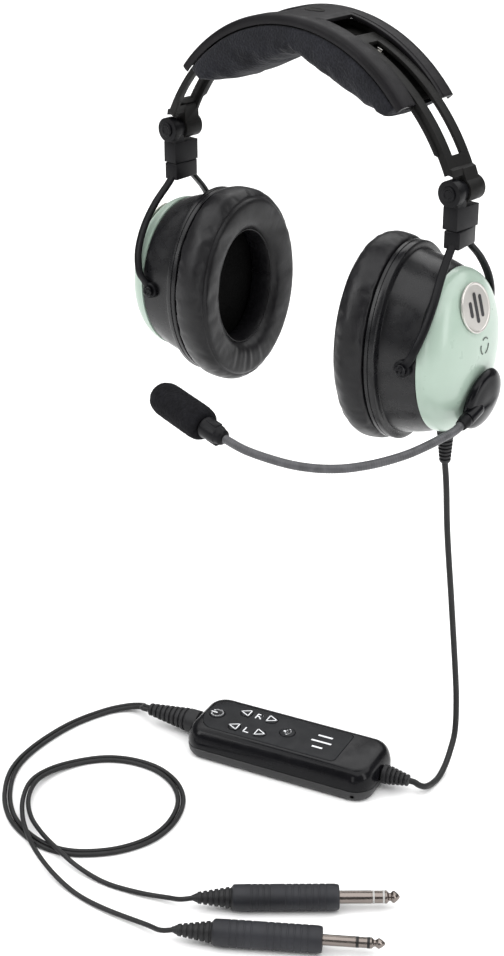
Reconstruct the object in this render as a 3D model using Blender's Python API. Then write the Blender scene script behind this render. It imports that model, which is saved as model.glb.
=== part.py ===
"""Folding aviation headset with a flexible boom microphone and an in-line control module.

Frame: +Z up, the wearer looks along -Y, the wearer's left ear is at +X. The origin is the
point of the head pad that rests on the crown of the head. Lengths below are in millimetres;
heights in the layout are given from the ear cups' tilt axis and moved down by PIVOT_DROP.
"""

import math

import bmesh
import bpy
from mathutils import Matrix, Vector

for old in list(bpy.data.objects):
    bpy.data.objects.remove(old, do_unlink=True)

# ---------------------------------------------------------------- driving dimensions, mm
MM = 0.001
GAP = 0.3
PIVOT_DROP = -136.0  # tilt axis of the ear cups below the crown of the head

BAND_Z = 60.5  # centre of the headband's arc
BAND_R = 93.0  # outer radius of the cover
BAND_HALF_WIDTH = 20.4
BAND_HALF_ANGLE = 50.4
COVER_WALL = 2.0
SLOT_HALF_WIDTH = 9.7
SLOT_START = 9.5

SLIDER_X, SLIDER_Z, SLIDER_R = 1.55, 46.1, 104.0  # arc of a slider, top face
SLIDER_HALF_WIDTH = 9.2
HINGE_X, HINGE_Z = 93.0, 80.6  # fold axis
EAR_R, LUG_R, PIN_R = 6.5, 6.2, 1.7
SWIVEL_Z = 62.6  # gap between hinge block and yoke
YOKE_BOTTOM = 53.4
BLOCK_HALF_X, BLOCK_HALF_Y = 4.2, 8.6
LEFT_TOE_OUT = 8.7  # degrees the left cup is turned about its swivel
RIGHT_TURN = 4.0  # and the right cup

TILT_X = 84.6
SEAL_BACK, SEAL_FACE = 64.4, 44.6
SEAL_HALF = (41.9, 52.6)
OPENING_HALF = (22.6, 30.8)
FLANGE_HALF = (40.6, 51.1)
SHELL_HALF_IN, SHELL_HALF_OUT = (36.2, 47.2), (36.0, 41.5)
SHELL_END = 91.0
DOME_BASE, DOME_HEIGHT, DOME_HALF, DOME_POWER = 91.4, 17.0, (36.4, 41.8), 2.3
BADGE_AT, BADGE_R = (-4.5, 25.5), 12.4
BOOM_AT = (1.0, -22.3)

MIC_CORD_D, MAIN_CORD_D = 2.5, 3.3
BOOM_D = 4.4

FLOOR_Z = -242.5  # height of the surface that the module and the plugs lie on
MODULE_X, MODULE_Y, MODULE_HEADING = 32.1, -51.1, 15.4
MODULE_L, MODULE_W = 111.0, 42.0

# ---------------------------------------------------------------- materials


def material(name, colour, roughness, metallic=0.0):
    m = bpy.data.materials.new(name)
    m.use_nodes = True
    shader = m.node_tree.nodes["Principled BSDF"]
    shader.inputs["Base Color"].default_value = (*colour, 1.0)
    shader.inputs["Roughness"].default_value = roughness
    shader.inputs["Metallic"].default_value = metallic
    m.diffuse_color = (*colour, 1.0)
    return m


SATIN = ("satin black plastic", (0.022, 0.021, 0.021), 0.42)
GLOSS = ("gloss black plastic", (0.012, 0.012, 0.014), 0.2)
LEATHER = ("black leatherette", (0.016, 0.016, 0.018), 0.5)
FABRIC = ("charcoal knit", (0.045, 0.045, 0.055), 0.9)
MINT = ("mint green plastic", (0.46, 0.62, 0.48), 0.32)
SILVER = ("silver foil", (0.62, 0.60, 0.57), 0.35, 0.9)
RUBBER = ("black rubber", (0.014, 0.014, 0.015), 0.6)
STEEL = ("bright steel", (0.62, 0.62, 0.62), 0.22, 1.0)
FOAM = ("black foam", (0.02, 0.02, 0.022), 0.95)
BOARD = ("circuit board", (0.03, 0.16, 0.06), 0.5)
PANEL = ("keypad film", (0.02, 0.021, 0.026), 0.45)
CELL = ("battery sleeve", (0.12, 0.13, 0.15), 0.4)

# ---------------------------------------------------------------- building helpers


def absolute(p):
    return Vector((p[0], p[1], p[2] + PIVOT_DROP)) * MM


def pivot(name, at, parent=None, turn=0.0):
    empty = bpy.data.objects.new(name, None)
    bpy.context.scene.collection.objects.link(empty)
    empty.empty_display_size = 0.01
    empty["at"] = tuple(absolute(at))
    base = Vector(parent["at"]) if parent else Vector((0, 0, 0))
    empty.parent = parent
    empty.location = absolute(at) - base
    empty.rotation_euler = (0.0, 0.0, math.radians(turn))
    return empty


def place(obj, look, parent, helper):
    bpy.context.scene.collection.objects.link(obj)
    obj.parent = parent
    if helper:
        obj.hide_render = True
        obj.display_type = "WIRE"
    else:
        obj.data.materials.append(material(obj.name, *look[1:]))
    return obj


def solid(name, bm, look=SATIN, parent=None, helper=False, angle=35.0):
    """An object from a bmesh in layout millimetres; its origin is its parent's joint."""
    base = Vector(parent["at"]) if parent else Vector((0, 0, 0))
    for v in bm.verts:
        v.co = absolute(v.co) - base
    bmesh.ops.recalc_face_normals(bm, faces=bm.faces)
    mesh = bpy.data.meshes.new(name)
    bm.to_mesh(mesh)
    bm.free()
    mesh.shade_smooth()
    mesh.set_sharp_from_angle(angle=math.radians(angle))
    return place(bpy.data.objects.new(name, mesh), look, parent, helper)


def boolean(obj, other, operation):
    modifier = obj.modifiers.new(other.name, "BOOLEAN")
    modifier.operation = operation
    modifier.object = other
    return obj


def cut(obj, *bodies):
    for i, bm in enumerate(bodies):
        helper = solid(f"{obj.name}_cut{i}", bm, parent=obj.parent, helper=True)
        boolean(obj, helper, "DIFFERENCE")
    return obj


def add(obj, *bodies):
    for i, bm in enumerate(bodies):
        helper = solid(f"{obj.name}_add{i}", bm, parent=obj.parent, helper=True)
        boolean(obj, helper, "UNION")
    return obj


def bridge(rings, loop=False):
    """A closed body from rings of points; a ring of one point is a pole."""
    bm = bmesh.new()
    made = [[bm.verts.new(Vector(p)) for p in ring] for ring in rings]
    pairs = list(zip(made, made[1:]))
    if loop:
        pairs.append((made[-1], made[0]))
    for a, b in pairs:
        n = max(len(a), len(b))
        for i in range(n):
            j = (i + 1) % n
            if len(a) == 1:
                bm.faces.new((a[0], b[i], b[j]))
            elif len(b) == 1:
                bm.faces.new((a[j], a[i], b[0]))
            else:
                bm.faces.new((a[j], a[i], b[i], b[j]))
    if not loop:
        for ring in (made[0], made[-1]):
            if len(ring) > 1:
                bm.faces.new(ring)
    return bm


def frame_of(direction):
    z = Vector(direction).normalized()
    x = z.cross(Vector((0, 0, 1)) if abs(z.z) < 0.9 else Vector((0, 1, 0))).normalized()
    return x, z.cross(x), z


def turned(start, direction, profile, segments=14, hollow=False):
    """A turned piece: profile holds (distance along the axis, radius)."""
    x, y, z = frame_of(direction)
    start = Vector(start)
    rings = []
    for along, radius in profile:
        if radius == 0:
            rings.append([start + z * along])
            continue
        ring = []
        for i in range(segments):
            a = math.tau * i / segments
            ring.append(start + z * along + (x * math.cos(a) + y * math.sin(a)) * radius)
        rings.append(ring)
    return bridge(rings, loop=hollow)


def rod(start, end, radius, segments=14):
    d = Vector(end) - Vector(start)
    return turned(start, d, [(0, radius), (d.length, radius)], segments)


def box(low, high):
    xs, ys, zs = zip(low, high)
    ring = [(0, 0), (1, 0), (1, 1), (0, 1)]
    return bridge([[(xs[i], ys[j], z) for i, j in ring] for z in zs])


def arc_body(centre, section, start, end, steps, side=1.0):
    """Sweeps section(angle) -> [(radius, y)] about the Y axis through centre=(x, z)."""
    rings = []
    for k in range(steps + 1):
        a = math.radians(start + (end - start) * k / steps)
        rings.append(
            [
                (side * (centre[0] + r * math.sin(a)), y, centre[1] + r * math.cos(a))
                for r, y in section(math.degrees(a))
            ]
        )
    return bridge(rings)


def blend_table(x, table):
    for (x0, y0), (x1, y1) in zip(table, table[1:]):
        if x <= x1:
            t = max(0.0, (x - x0) / (x1 - x0))
            t = t * t * (3 - 2 * t)
            return y0 + (y1 - y0) * t
    return table[-1][1]


def smooth_path(route, count):
    """count points, evenly spaced, on a Catmull-Rom curve through the route."""
    pts = [Vector(p) for p in route]
    pts = [2 * pts[0] - pts[1], *pts, 2 * pts[-1] - pts[-2]]
    fine = []
    for i in range(1, len(pts) - 2):
        p0, p1, p2, p3 = pts[i - 1 : i + 3]
        for k in range(24):
            t = k / 24
            fine.append(
                0.5
                * (
                    2 * p1
                    + (p2 - p0) * t
                    + (2 * p0 - 5 * p1 + 4 * p2 - p3) * t * t
                    + (3 * p1 - p0 - 3 * p2 + p3) * t**3
                )
            )
    fine.append(pts[-2])
    lengths = [0.0]
    for a, b in zip(fine, fine[1:]):
        lengths.append(lengths[-1] + (b - a).length)
    out, k = [], 0
    for i in range(count):
        want = lengths[-1] * i / (count - 1)
        while k < len(fine) - 2 and lengths[k + 1] < want:
            k += 1
        t = (want - lengths[k]) / max(lengths[k + 1] - lengths[k], 1e-9)
        out.append(fine[k].lerp(fine[k + 1], min(1.0, t)))
    return out


def tube(name, route, count, diameter, look, parent=None, resolution=2):
    """A round cord as a bevelled poly curve with closed ends."""
    base = Vector(parent["at"]) if parent else Vector((0, 0, 0))
    curve = bpy.data.curves.new(name, "CURVE")
    curve.dimensions = "3D"
    spline = curve.splines.new("POLY")
    pts = smooth_path(route, count)
    spline.points.add(len(pts) - 1)
    for point, p in zip(spline.points, pts):
        point.co = (*(absolute(p) - base), 1.0)
    curve.bevel_depth = diameter / 2 * MM
    curve.bevel_resolution = resolution
    curve.use_fill_caps = True
    return place(bpy.data.objects.new(name, curve), look, parent, False)


def oval(u, half, side, count=22):
    a, b = half
    out = []
    for i in range(count):
        t = math.tau * (i + 0.5) / count
        out.append((side * u, a * math.cos(t), b * math.sin(t)))
    return out


def inset(half, d):
    return (half[0] - d, half[1] - d)


def flip(side, p):
    return Vector((side * p[0], p[1], p[2]))


# ---------------------------------------------------------------- headband


def cover_section(_):
    w, r = BAND_HALF_WIDTH, BAND_R
    wall, skirt = COVER_WALL, r - 5.0
    return [
        (skirt, -w),
        (r - 1.2, -w),
        (r, -w + 1.6),
        (r, 0.0),
        (r, w - 1.6),
        (r - 1.2, w),
        (skirt, w),
        (skirt, w - 1.6),
        (r - wall, w - 1.6),
        (r - wall, 0.0),
        (r - wall, -w + 1.6),
        (skirt, -w + 1.6),
    ]


def band_slab(r0, r1, half, start, end, steps):
    return arc_body(
        (0.0, BAND_Z),
        lambda _: [(r0, -half), (r1, -half), (r1, half), (r0, half)],
        start,
        end,
        steps,
    )


cover = solid(
    "headband_cover",
    arc_body((0.0, BAND_Z), cover_section, -BAND_HALF_ANGLE, BAND_HALF_ANGLE, 20),
)
cut(
    cover,
    band_slab(80.0, 99.0, SLOT_HALF_WIDTH, SLOT_START, 56.0, 8),
    band_slab(80.0, 99.0, SLOT_HALF_WIDTH, -56.0, -SLOT_START, 8),
)
cap_turn = Matrix.Diagonal((1.0, 0.62, 1.0, 1.0))
recess = turned((0, 0, BAND_Z + BAND_R - 1.1), (0, 0, 1), [(0, 6.6), (6, 6.6)], 20)
recess.transform(cap_turn)
cut(cover, recess)
insert = turned((0, 0, BAND_Z + BAND_R - 0.8), (0, 0, 1), [(0, 6.2), (0.5, 6.2)], 20)
insert.transform(cap_turn)
solid("crown_insert", insert, RUBBER)


def liner_section(_):
    w = 18.4
    return [
        (82.7, -w),
        (87.4, -w),
        (87.4, -w + 1.8),
        (84.8, -w + 1.8),
        (84.8, w - 1.8),
        (87.4, w - 1.8),
        (87.4, w),
        (82.7, w),
    ]


solid(
    "headband_liner",
    arc_body((0.0, BAND_Z), liner_section, -47.5, 47.5, 16),
    RUBBER,
)

PAD_INNER = [(0, 75.6), (4, 75.0), (10, 72.6), (16, 71.4), (26, 71.0), (37, 73.6), (44, 78.5), (49.5, 82.0)]


def pad_section(angle):
    inner = blend_table(abs(angle), PAD_INNER)
    w, pocket = 20.4, 18.75
    depth = 82.3 - inner
    return [
        (87.6, -w + 0.4),
        (82.0, -w),
        (82.3 - depth * 0.55, -w + 0.3),
        (82.3 - depth * 0.9, -w + 3.6),
        (inner, -9.5),
        (inner, 9.5),
        (82.3 - depth * 0.9, w - 3.6),
        (82.3 - depth * 0.55, w - 0.3),
        (82.0, w),
        (87.6, w - 0.4),
        (87.6, pocket),
        (82.35, pocket),
        (82.35, -pocket),
        (87.6, -pocket),
    ]


solid("head_pad", arc_body((0.0, BAND_Z), pad_section, -49.0, 49.0, 22), FABRIC)

# ---------------------------------------------------------------- one side of the headset


def dome_height(f):
    return DOME_BASE + DOME_HEIGHT * max(0.0, 1.0 - f**DOME_POWER) ** (1.0 / DOME_POWER)


def dome_point(v, z):
    """Point on the dome and its outward normal, on the +X side."""
    a, b = DOME_HALF

    def height(y, h):
        return dome_height(math.hypot(y / a, h / b))

    e = 0.05
    dv = (height(v + e, z) - height(v - e, z)) / (2 * e)
    dz = (height(v, z + e) - height(v, z - e)) / (2 * e)
    return Vector((height(v, z), v, z)), Vector((1.0, -dv, -dz)).normalized()


def slider_section(angle):
    w, r = SLIDER_HALF_WIDTH, SLIDER_R
    lip = w + 2.0 if angle < 59.0 else w
    return [
        (r - 0.5, -w),
        (r, -w + 0.5),
        (r, w - 0.5),
        (r - 0.5, w),
        (r - 2.9, w),
        (r - 2.9, lip + 0.01),
        (r - 4.1, lip + 0.01),
        (r - 4.1, w - 1.8),
        (r - 1.8, w - 1.8),
        (r - 1.8, -w + 1.8),
        (r - 4.1, -w + 1.8),
        (r - 4.1, -lip - 0.01),
        (r - 2.9, -lip - 0.01),
        (r - 2.9, -w),
    ]


def arm_body(side, front):
    """One arm of the yoke: a flat strip that bows out to the tilt axis."""
    route = [
        (93.0, 6.0, 56.5),
        (93.2, 10.5, 51.8),
        (94.5, 20.5, 42.5),
        (95.3, 28.8, 31.5),
        (94.2, 35.2, 20.0),
        (91.0, 38.6, 9.8),
        (88.2, 37.8, 4.8),
        (85.2, 37.2, 0.9),
    ]
    pts = smooth_path(route, 10)
    rings = []
    for i, p in enumerate(pts):
        d = (pts[min(i + 1, 9)] - pts[max(i - 1, 0)]).normalized()
        across = Vector((1.0, 0.0, 0.0))
        across = (across - d * across.dot(d)).normalized()
        out = d.cross(across)
        half_w = 2.6 if i in (0, 1) else 2.0
        half_t = 1.2
        ring = []
        for a, b in ((1, 0), (0.7, 1), (-0.7, 1), (-1, 0), (-0.7, -1), (0.7, -1)):
            q = p + across * a * half_w + out * b * half_t
            ring.append((side * q.x, q.y * front, q.z))
        rings.append(ring)
    return bridge(rings)


def build_side(side, label):
    hand = label + "_"
    size = pivot(hand + "size_joint", (-side * SLIDER_X, 0, SLIDER_Z))
    fold = pivot(hand + "fold_joint", (side * HINGE_X, 0, HINGE_Z), size)
    turn = LEFT_TOE_OUT if side > 0 else RIGHT_TURN
    swivel = pivot(hand + "swivel_joint", (side * HINGE_X, 0, SWIVEL_Z), fold, turn)
    tilt = pivot(hand + "tilt_joint", (side * TILT_X, 0, 0), swivel)
    hinge = Vector((side * HINGE_X, 0, HINGE_Z))

    # slider: a two-rail strip with lips that run under the cover
    def bent(section, a0, a1, steps):
        return arc_body((-SLIDER_X, SLIDER_Z), section, a0, a1, steps, side)

    def slab(r0, r1, y0, y1, a0, a1, steps):
        return bent(lambda _: [(r0, y0), (r1, y0), (r1, y1), (r0, y1)], a0, a1, steps)

    slider = solid(hand + "slider", bent(slider_section, 17.5, 65.2, 11), SATIN, size)
    web = [(HINGE_X - 4.6, HINGE_Z + 12.6), (HINGE_X + 0.9, HINGE_Z + 10.6), (HINGE_X + 4.5, HINGE_Z + 2.5), (HINGE_X - 5.2, HINGE_Z + 1.5)]
    add(
        slider,
        bridge([[(side * x, y, z) for x, z in web] for y in (-1.3, 8.9)]),
        bridge([[(side * x, y, z) for x, z in [(HINGE_X - 5.0, HINGE_Z + 12.9), (HINGE_X + 0.6, HINGE_Z + 10.9), (HINGE_X + 1.3, HINGE_Z + 7.8), (HINGE_X - 4.4, HINGE_Z + 8.6)]] for y in (-8.9, -0.6)]),
        rod(hinge + Vector((0, -1.2, 0)), hinge + Vector((0, 10.4, 0)), LUG_R, 16),
    )
    cut(
        slider,
        slab(SLIDER_R - 9, SLIDER_R + 5, -3.7, 3.7, 21.6, 60.5, 9),
        rod(hinge + Vector((0, -4, 0)), hinge + Vector((0, 14, 0)), PIN_R + 0.3, 12),
    )

    # hinge block: one ear and an inner knuckle on the fold axis, a socket for the swivel below
    block = solid(
        hand + "hinge_block",
        box((side * HINGE_X - BLOCK_HALF_X, -BLOCK_HALF_Y, SWIVEL_Z), (side * HINGE_X + BLOCK_HALF_X, BLOCK_HALF_Y, HINGE_Z - 7.2)),
        SATIN,
        fold,
    )
    add(
        block,
        box((side * HINGE_X - BLOCK_HALF_X + 0.1, -BLOCK_HALF_Y + 0.1, HINGE_Z - 9.0), (side * HINGE_X + BLOCK_HALF_X - 0.1, -1.6, HINGE_Z - 1.0)),
        rod(hinge + Vector((0, -10.4, 0)), hinge + Vector((0, -5.9, 0)), EAR_R, 16),
        rod(hinge + Vector((0, -6.2, 0)), hinge + Vector((0, -1.55, 0)), 5.1, 12),
    )
    cut(
        block,
        rod(hinge + Vector((0, -14, 0)), hinge + Vector((0, 2, 0)), PIN_R + 0.3, 12),
        rod((side * HINGE_X, 0, SWIVEL_Z - 3), (side * HINGE_X, 0, SWIVEL_Z + 6.4), 2.6, 16),
    )

    solid(
        hand + "hinge_pin",
        turned(hinge + Vector((0, -11.5, 0)), (0, 1, 0), [(0, 3.4), (0.3, 3.7), (0.8, 3.7), (0.8, PIN_R), (22.2, PIN_R), (22.2, 3.7), (22.7, 3.7), (23.0, 3.4)], 10),
        SATIN,
        fold,
    )

    # yoke: block, swivel stud and two arms that end in eyes on the tilt axis
    yoke = solid(
        hand + "yoke",
        box((side * HINGE_X - BLOCK_HALF_X, -BLOCK_HALF_Y, YOKE_BOTTOM), (side * HINGE_X + BLOCK_HALF_X, BLOCK_HALF_Y, SWIVEL_Z - 0.4)),
        SATIN,
        swivel,
    )
    add(yoke, rod((side * HINGE_X, 0, SWIVEL_Z - 2), (side * HINGE_X, 0, SWIVEL_Z + 6.0), 2.2, 16))
    for front in (-1, 1):
        eye = rod((side * TILT_X, front * 35.9, 0), (side * TILT_X, front * 38.3, 0), 4.4, 16)
        add(yoke, arm_body(side, front), eye)
    cut(yoke, rod((side * TILT_X, -45, 0), (side * TILT_X, 45, 0), 1.8, 16))
    for k, modifier in enumerate(yoke.modifiers):
        helper = modifier.object
        helper.name = f"{hand}yoke_tool{k}"

    for front, word in ((-1, "front"), (1, "rear")):
        at = (side * TILT_X, front * 40.4, 0)
        solid(
            f"{hand}pivot_screw_{word}",
            turned(at, (0, -front, 0), [(0.5, 0.0), (0.5, 1.1), (0, 1.6), (0, 2.9), (1.3, 2.9), (1.3, 1.45), (9.6, 1.45), (9.6, 0)], 10),
            STEEL,
            swivel,
        )

    # ear cup
    flange, s_in, s_out = FLANGE_HALF, SHELL_HALF_IN, SHELL_HALF_OUT
    shell_rings = [
        (64.7, flange),
        (70.4, flange),
        (71.0, s_in),
        (SHELL_END, s_out),
        (SHELL_END, inset(s_out, 2.2)),
        (72.6, inset(s_in, 2.3)),
        (68.4, inset(s_in, 2.6)),
        (68.4, (29.5, 38.5)),
        (64.7, (29.5, 38.5)),
    ]
    shell = solid(
        hand + "ear_shell",
        bridge([oval(u, h, side) for u, h in shell_rings], loop=True),
        SATIN,
        tilt,
    )
    for front in (-1, 1):
        add(shell, rod((side * TILT_X, front * 29.0, 0), (side * TILT_X, front * 35.5, 0), 5.0, 14))
    cut(shell, rod((side * TILT_X, -45, 0), (side * TILT_X, 45, 0), 1.75, 12))

    seal_rings = [
        (SEAL_BACK, 0.10),
        (SEAL_BACK, 0.93),
        (60.0, 0.99),
        (51.0, 1.0),
        (46.6, 0.86),
        (44.7, 0.55),
        (45.6, 0.22),
        (49.0, 0.03),
        (57.0, 0.0),
    ]
    (oa, ob), (sa, sb) = OPENING_HALF, SEAL_HALF
    solid(
        hand + "ear_seal",
        bridge([oval(SEAL_BACK - (SEAL_BACK - u) * (0.93 if side > 0 else 1.0), (oa + (sa - oa) * w, ob + (sb - ob) * w), side) for u, w in seal_rings], loop=True),
        LEATHER,
        tilt,
    )

    solid(
        hand + "baffle",
        bridge([oval(68.8, (33.0, 43.8), side), oval(70.8, (33.0, 43.8), side), oval(70.8, (17.0, 17.0), side), oval(68.8, (17.0, 17.0), side)], loop=True),
        SATIN,
        tilt,
    )
    outward = Vector((side, 0, 0))
    solid(
        hand + "speaker",
        turned((side * 69.4, 0, 0), outward, [(0, 0), (0, 16.4), (1.8, 16.4), (1.8, 18.6), (4.0, 18.6), (6.4, 11.0), (9.4, 11.0), (9.4, 0)], 16),
        BOARD,
        tilt,
    )
    board = box((84.2, -15, -22), (85.7, 15, 22))
    if side < 0:
        board.transform(Matrix.Diagonal((-1.0, 1.0, 1.0, 1.0)))
    solid(hand + "circuit_board", board, BOARD, tilt)

    # dome: a thin shell with a flat land for the badge
    a, b = DOME_HALF
    outer = [0.0, 0.16, 0.34, 0.54, 0.76]
    rings = [[(side * (DOME_BASE + DOME_HEIGHT - 2.2), 0, 0)]]
    for k in (0.72, 0.4):
        f = math.cos(k * math.pi / 2) ** (2 / DOME_POWER)
        h = math.sin(k * math.pi / 2) ** (2 / DOME_POWER)
        rings.append(oval(DOME_BASE + (DOME_HEIGHT - 2.2) * h, ((a - 2.4) * f, (b - 2.4) * f), side))
    rings.append(oval(DOME_BASE, (a - 2.4, b - 2.4), side))
    for k in outer:
        f = math.cos(k * math.pi / 2) ** (2 / DOME_POWER)
        h = math.sin(k * math.pi / 2) ** (2 / DOME_POWER)
        rings.append(oval(DOME_BASE + DOME_HEIGHT * h, (a * f, b * f), side))
    rings.append([(side * (DOME_BASE + DOME_HEIGHT), 0, 0)])
    dome = solid(hand + "dome", bridge(rings), MINT, tilt)
    spot, normal = dome_point(*BADGE_AT)
    spot, normal = flip(side, spot), flip(side, normal)
    add(dome, rod(spot - normal * 6.0, spot - normal * 0.9, BADGE_R + 1.6, 16))
    cut(dome, rod(spot - normal * 0.9, spot + normal * 6.0, BADGE_R + 0.5, 22))
    solid(
        hand + "badge",
        turned(spot - normal * 0.6, normal, [(0, BADGE_R), (1.0, BADGE_R), (1.3, BADGE_R - 0.6), (1.3, BADGE_R - 1.3), (1.0, BADGE_R - 1.6)], 22),
        SILVER,
        tilt,
    )
    return size, fold, swivel, tilt, shell, dome


def sideways(p):
    """A point of the left cup given before the toe-out turn, in the turned position."""
    turn = Matrix.Rotation(math.radians(LEFT_TOE_OUT), 4, "Z")
    hub = Vector((HINGE_X, 0, 0))
    return turn @ (Vector(p) - hub) + hub


build_side(-1, "right")
_, left_fold, left_swivel, left_tilt, left_shell, left_dome = build_side(1, "left")

# ---------------------------------------------------------------- boom microphone, on the left cup

boom_spot, boom_axis = dome_point(*BOOM_AT)
boom_joint = pivot("boom_joint", boom_spot, left_tilt)
barrel_way = Vector((-0.032, -0.977, -0.212))
barrel_way = (barrel_way - boom_axis * barrel_way.dot(boom_axis)).normalized()
cross_way = boom_axis.cross(barrel_way)
cut(left_dome, rod(boom_spot - boom_axis * 8, boom_spot + boom_axis * 4, 3.6, 16))

rings = []
for lift, radius in ((0.45, 15.0), (1.7, 16.2), (3.8, 15.7), (5.9, 13.3), (7.6, 8.9), (8.4, 3.2), (8.5, 0.0)):
    if radius == 0.0:
        rings.append([boom_spot + boom_axis * lift])
        continue
    ring = []
    for i in range(20):
        t = math.tau * i / 20
        ring.append(boom_spot + boom_axis * lift + (barrel_way * math.cos(t) + cross_way * math.sin(t)) * radius)
    rings.append(ring)
bracket = solid("boom_bracket", bridge(rings), GLOSS, boom_joint)

MIC_END = (17.5, -89.8, -33.6)
root = boom_spot + boom_axis * 4.6 + barrel_way * 14.0
boom_route = [
    root + barrel_way * 6.8,
    root + barrel_way * 10.0,
    (109.3, -28.0, -30.0),
    (107.2, -35.0, -31.1),
    (103.6, -43.5, -33.0),
    (98.6, -52.5, -35.2),
    (92.6, -61.5, -36.8),
    (85.6, -70.4, -37.9),
    (76.2, -78.8, -38.8),
    (51.0, -89.6, -38.0),
    (32.0, -92.0, -35.6),
    MIC_END,
]
add(
    bracket,
    rod(boom_spot - boom_axis * 3.8, boom_spot + boom_axis * 2.0, 3.2),
    rod(root - barrel_way * 8.5, root + barrel_way * 4.4, 3.6),
)
solid(
    "boom_collar",
    turned(root + barrel_way * 4.8, barrel_way, [(0, 3.5), (2.6, 3.5), (3.4, 3.2), (6.0, 2.9), (6.0, 2.5), (1.6, 2.5), (1.6, 1.0), (0, 1.0)], 14, hollow=True),
    SATIN,
    boom_joint,
)
tube("boom_tube", boom_route, 28, BOOM_D, SATIN, boom_joint)

mic_joint = pivot("mic_joint", MIC_END, boom_joint)
mic_way = Vector((-0.93, 0.355, 0.08)).normalized()
clip_way = (Vector((5.0, -86.5, -31.8)) - Vector(MIC_END)).normalized()
clip = solid(
    "mic_bracket",
    turned(Vector(MIC_END) + clip_way * 0.4, clip_way, [(0, 2.6), (1.0, 4.2), (4.0, 4.6), (8.5, 5.0), (13.0, 5.6), (14.0, 5.2)], 16),
    SATIN,
    mic_joint,
)
muff_start = Vector(MIC_END) + clip_way * 14.8
bm = turned(muff_start, mic_way, [(0.3, 6.6), (2.0, 7.9), (6.0, 8.7), (34.0, 8.7), (38.5, 7.4), (41.5, 4.4), (42.4, 0)], 18)
muff = solid("mic_muff", bm, FOAM, mic_joint, angle=60)
cut(muff, rod(muff_start - mic_way * 2, muff_start + mic_way * 24, 5.3, 16))
solid(
    "mic_capsule",
    turned(muff_start + mic_way * 2.0, mic_way, [(0, 3.0), (0, 4.9), (16.5, 4.9), (18.5, 3.6)], 14),
    SATIN,
    mic_joint,
)

# ---------------------------------------------------------------- cable exit of the left cup

EXIT_U, EXIT_V = 86.0, 9.2
boot_way = Vector((0.0, 0.06, -1.0)).normalized()
boot_start = Vector((EXIT_U, EXIT_V - 1.0, -37.4))
cut(left_shell, rod(boot_start - boot_way * 8, boot_start + boot_way * 12, 3.7, 12))
boot_joint = pivot("boot_joint", (EXIT_U, EXIT_V - 1.0, -42.0), left_tilt)
ribs = [(0, 1.8), (0, 2.5), (8.3, 2.5), (8.3, 4.8), (10.4, 4.7)]
for k in range(4):
    r = 4.4 - 0.36 * k
    ribs += [(11.4 + 4.2 * k, r - 0.8), (11.9 + 4.2 * k, r), (13.9 + 4.2 * k, r - 0.1)]
ribs += [(28.6, 2.6), (28.6, 1.8)]
solid("cup_cable_boot", turned(boot_start, boot_way, ribs, 10, hollow=True), RUBBER, boot_joint)

# ---------------------------------------------------------------- lead, module and plugs

lead_start = sideways(boot_start + boot_way * 29.0)
lead_joint = pivot("lead_joint", lead_start)
heading = math.radians(MODULE_HEADING)


def module(s, t, h):
    return (
        MODULE_X + s * math.cos(heading) - t * math.sin(heading),
        MODULE_Y + s * math.sin(heading) + t * math.cos(heading),
        FLOOR_Z + h,
    )


def outline(d, h, corners=3):
    """Rounded plan of the module, inset by d, at height h."""
    hl, hw = MODULE_L / 2 - d, MODULE_W / 2 - d
    rc = max(11.0 - d * 0.8, 1.0)
    out = []
    for k, (sx, sy) in enumerate(((1, 1), (-1, 1), (-1, -1), (1, -1))):
        for i in range(corners + 1):
            a = math.pi / 2 * (k + i / corners)
            out.append(module(sx * (hl - rc) + rc * math.cos(a), sy * (hw - rc) + rc * math.sin(a), h))
    return out


def module_box(s0, s1, t0, t1, h0, h1):
    plan = ((s0, t0), (s1, t0), (s1, t1), (s0, t1))
    return bridge([[module(s, t, h) for s, t in plan] for h in (h0, h1)])


def along(s0, s1, t, h, radius, segments=16):
    return rod(module(s0, t, h), module(s1, t, h), radius, segments)


BOOT_T, BOOT_H = 1.5, 8.0
bottom = solid(
    "module_bottom",
    bridge([outline(3.0, 0.3), outline(1.2, 1.2), outline(0.0, 6.5), outline(2.0, 6.5), outline(2.6, 3.6)]),
    GLOSS,
    lead_joint,
)
cut(
    bottom,
    module_box(-0.3, 62, -15.3, 15.3, -2, 2.6),
    module_box(1.5, 49.5, -13.0, 13.0, -2, 5.0),
    along(46, 64, BOOT_T, BOOT_H, 3.6),
    along(-46, -64, BOOT_T, BOOT_H, 3.6),
)
door = solid("battery_door", bridge([outline(3.0, 0.3), outline(1.2, 1.2), outline(0.9, 2.3)]), GLOSS, lead_joint)
keep = solid("battery_door_keep", module_box(0.0, 70, -15.0, 15.0, -5, 8), parent=lead_joint, helper=True)
boolean(door, keep, "INTERSECT")
cut(door, *[module_box(5 + 2.4 * k, 6.2 + 2.4 * k, -6, 6, -1, 0.7) for k in range(4)])

top = solid(
    "module_top",
    bridge(
        [
            outline(6.4, 15.7),
            outline(4.0, 14.4),
            outline(2.1, 10.0),
            outline(2.0, 6.8),
            outline(0.0, 6.8),
            outline(0.25, 10.5),
            outline(1.2, 14.4),
            outline(2.6, 16.8),
            outline(4.4, 17.9),
        ]
    ),
    GLOSS,
    lead_joint,
)


def pad_plan(d, h):
    """Keypad plan: round at its left end, square at its right."""
    s0, s1, w = -50.6 + d, 33.0 - d, 14.2 - d
    out = [module(s1, -w, h), module(s1, w, h)]
    for i in range(7):
        a = math.pi / 2 + math.pi * i / 6
        out.append(module(s0 + w * 0.75 + w * 0.75 * math.cos(a), w * math.sin(a), h))
    return out


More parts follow.
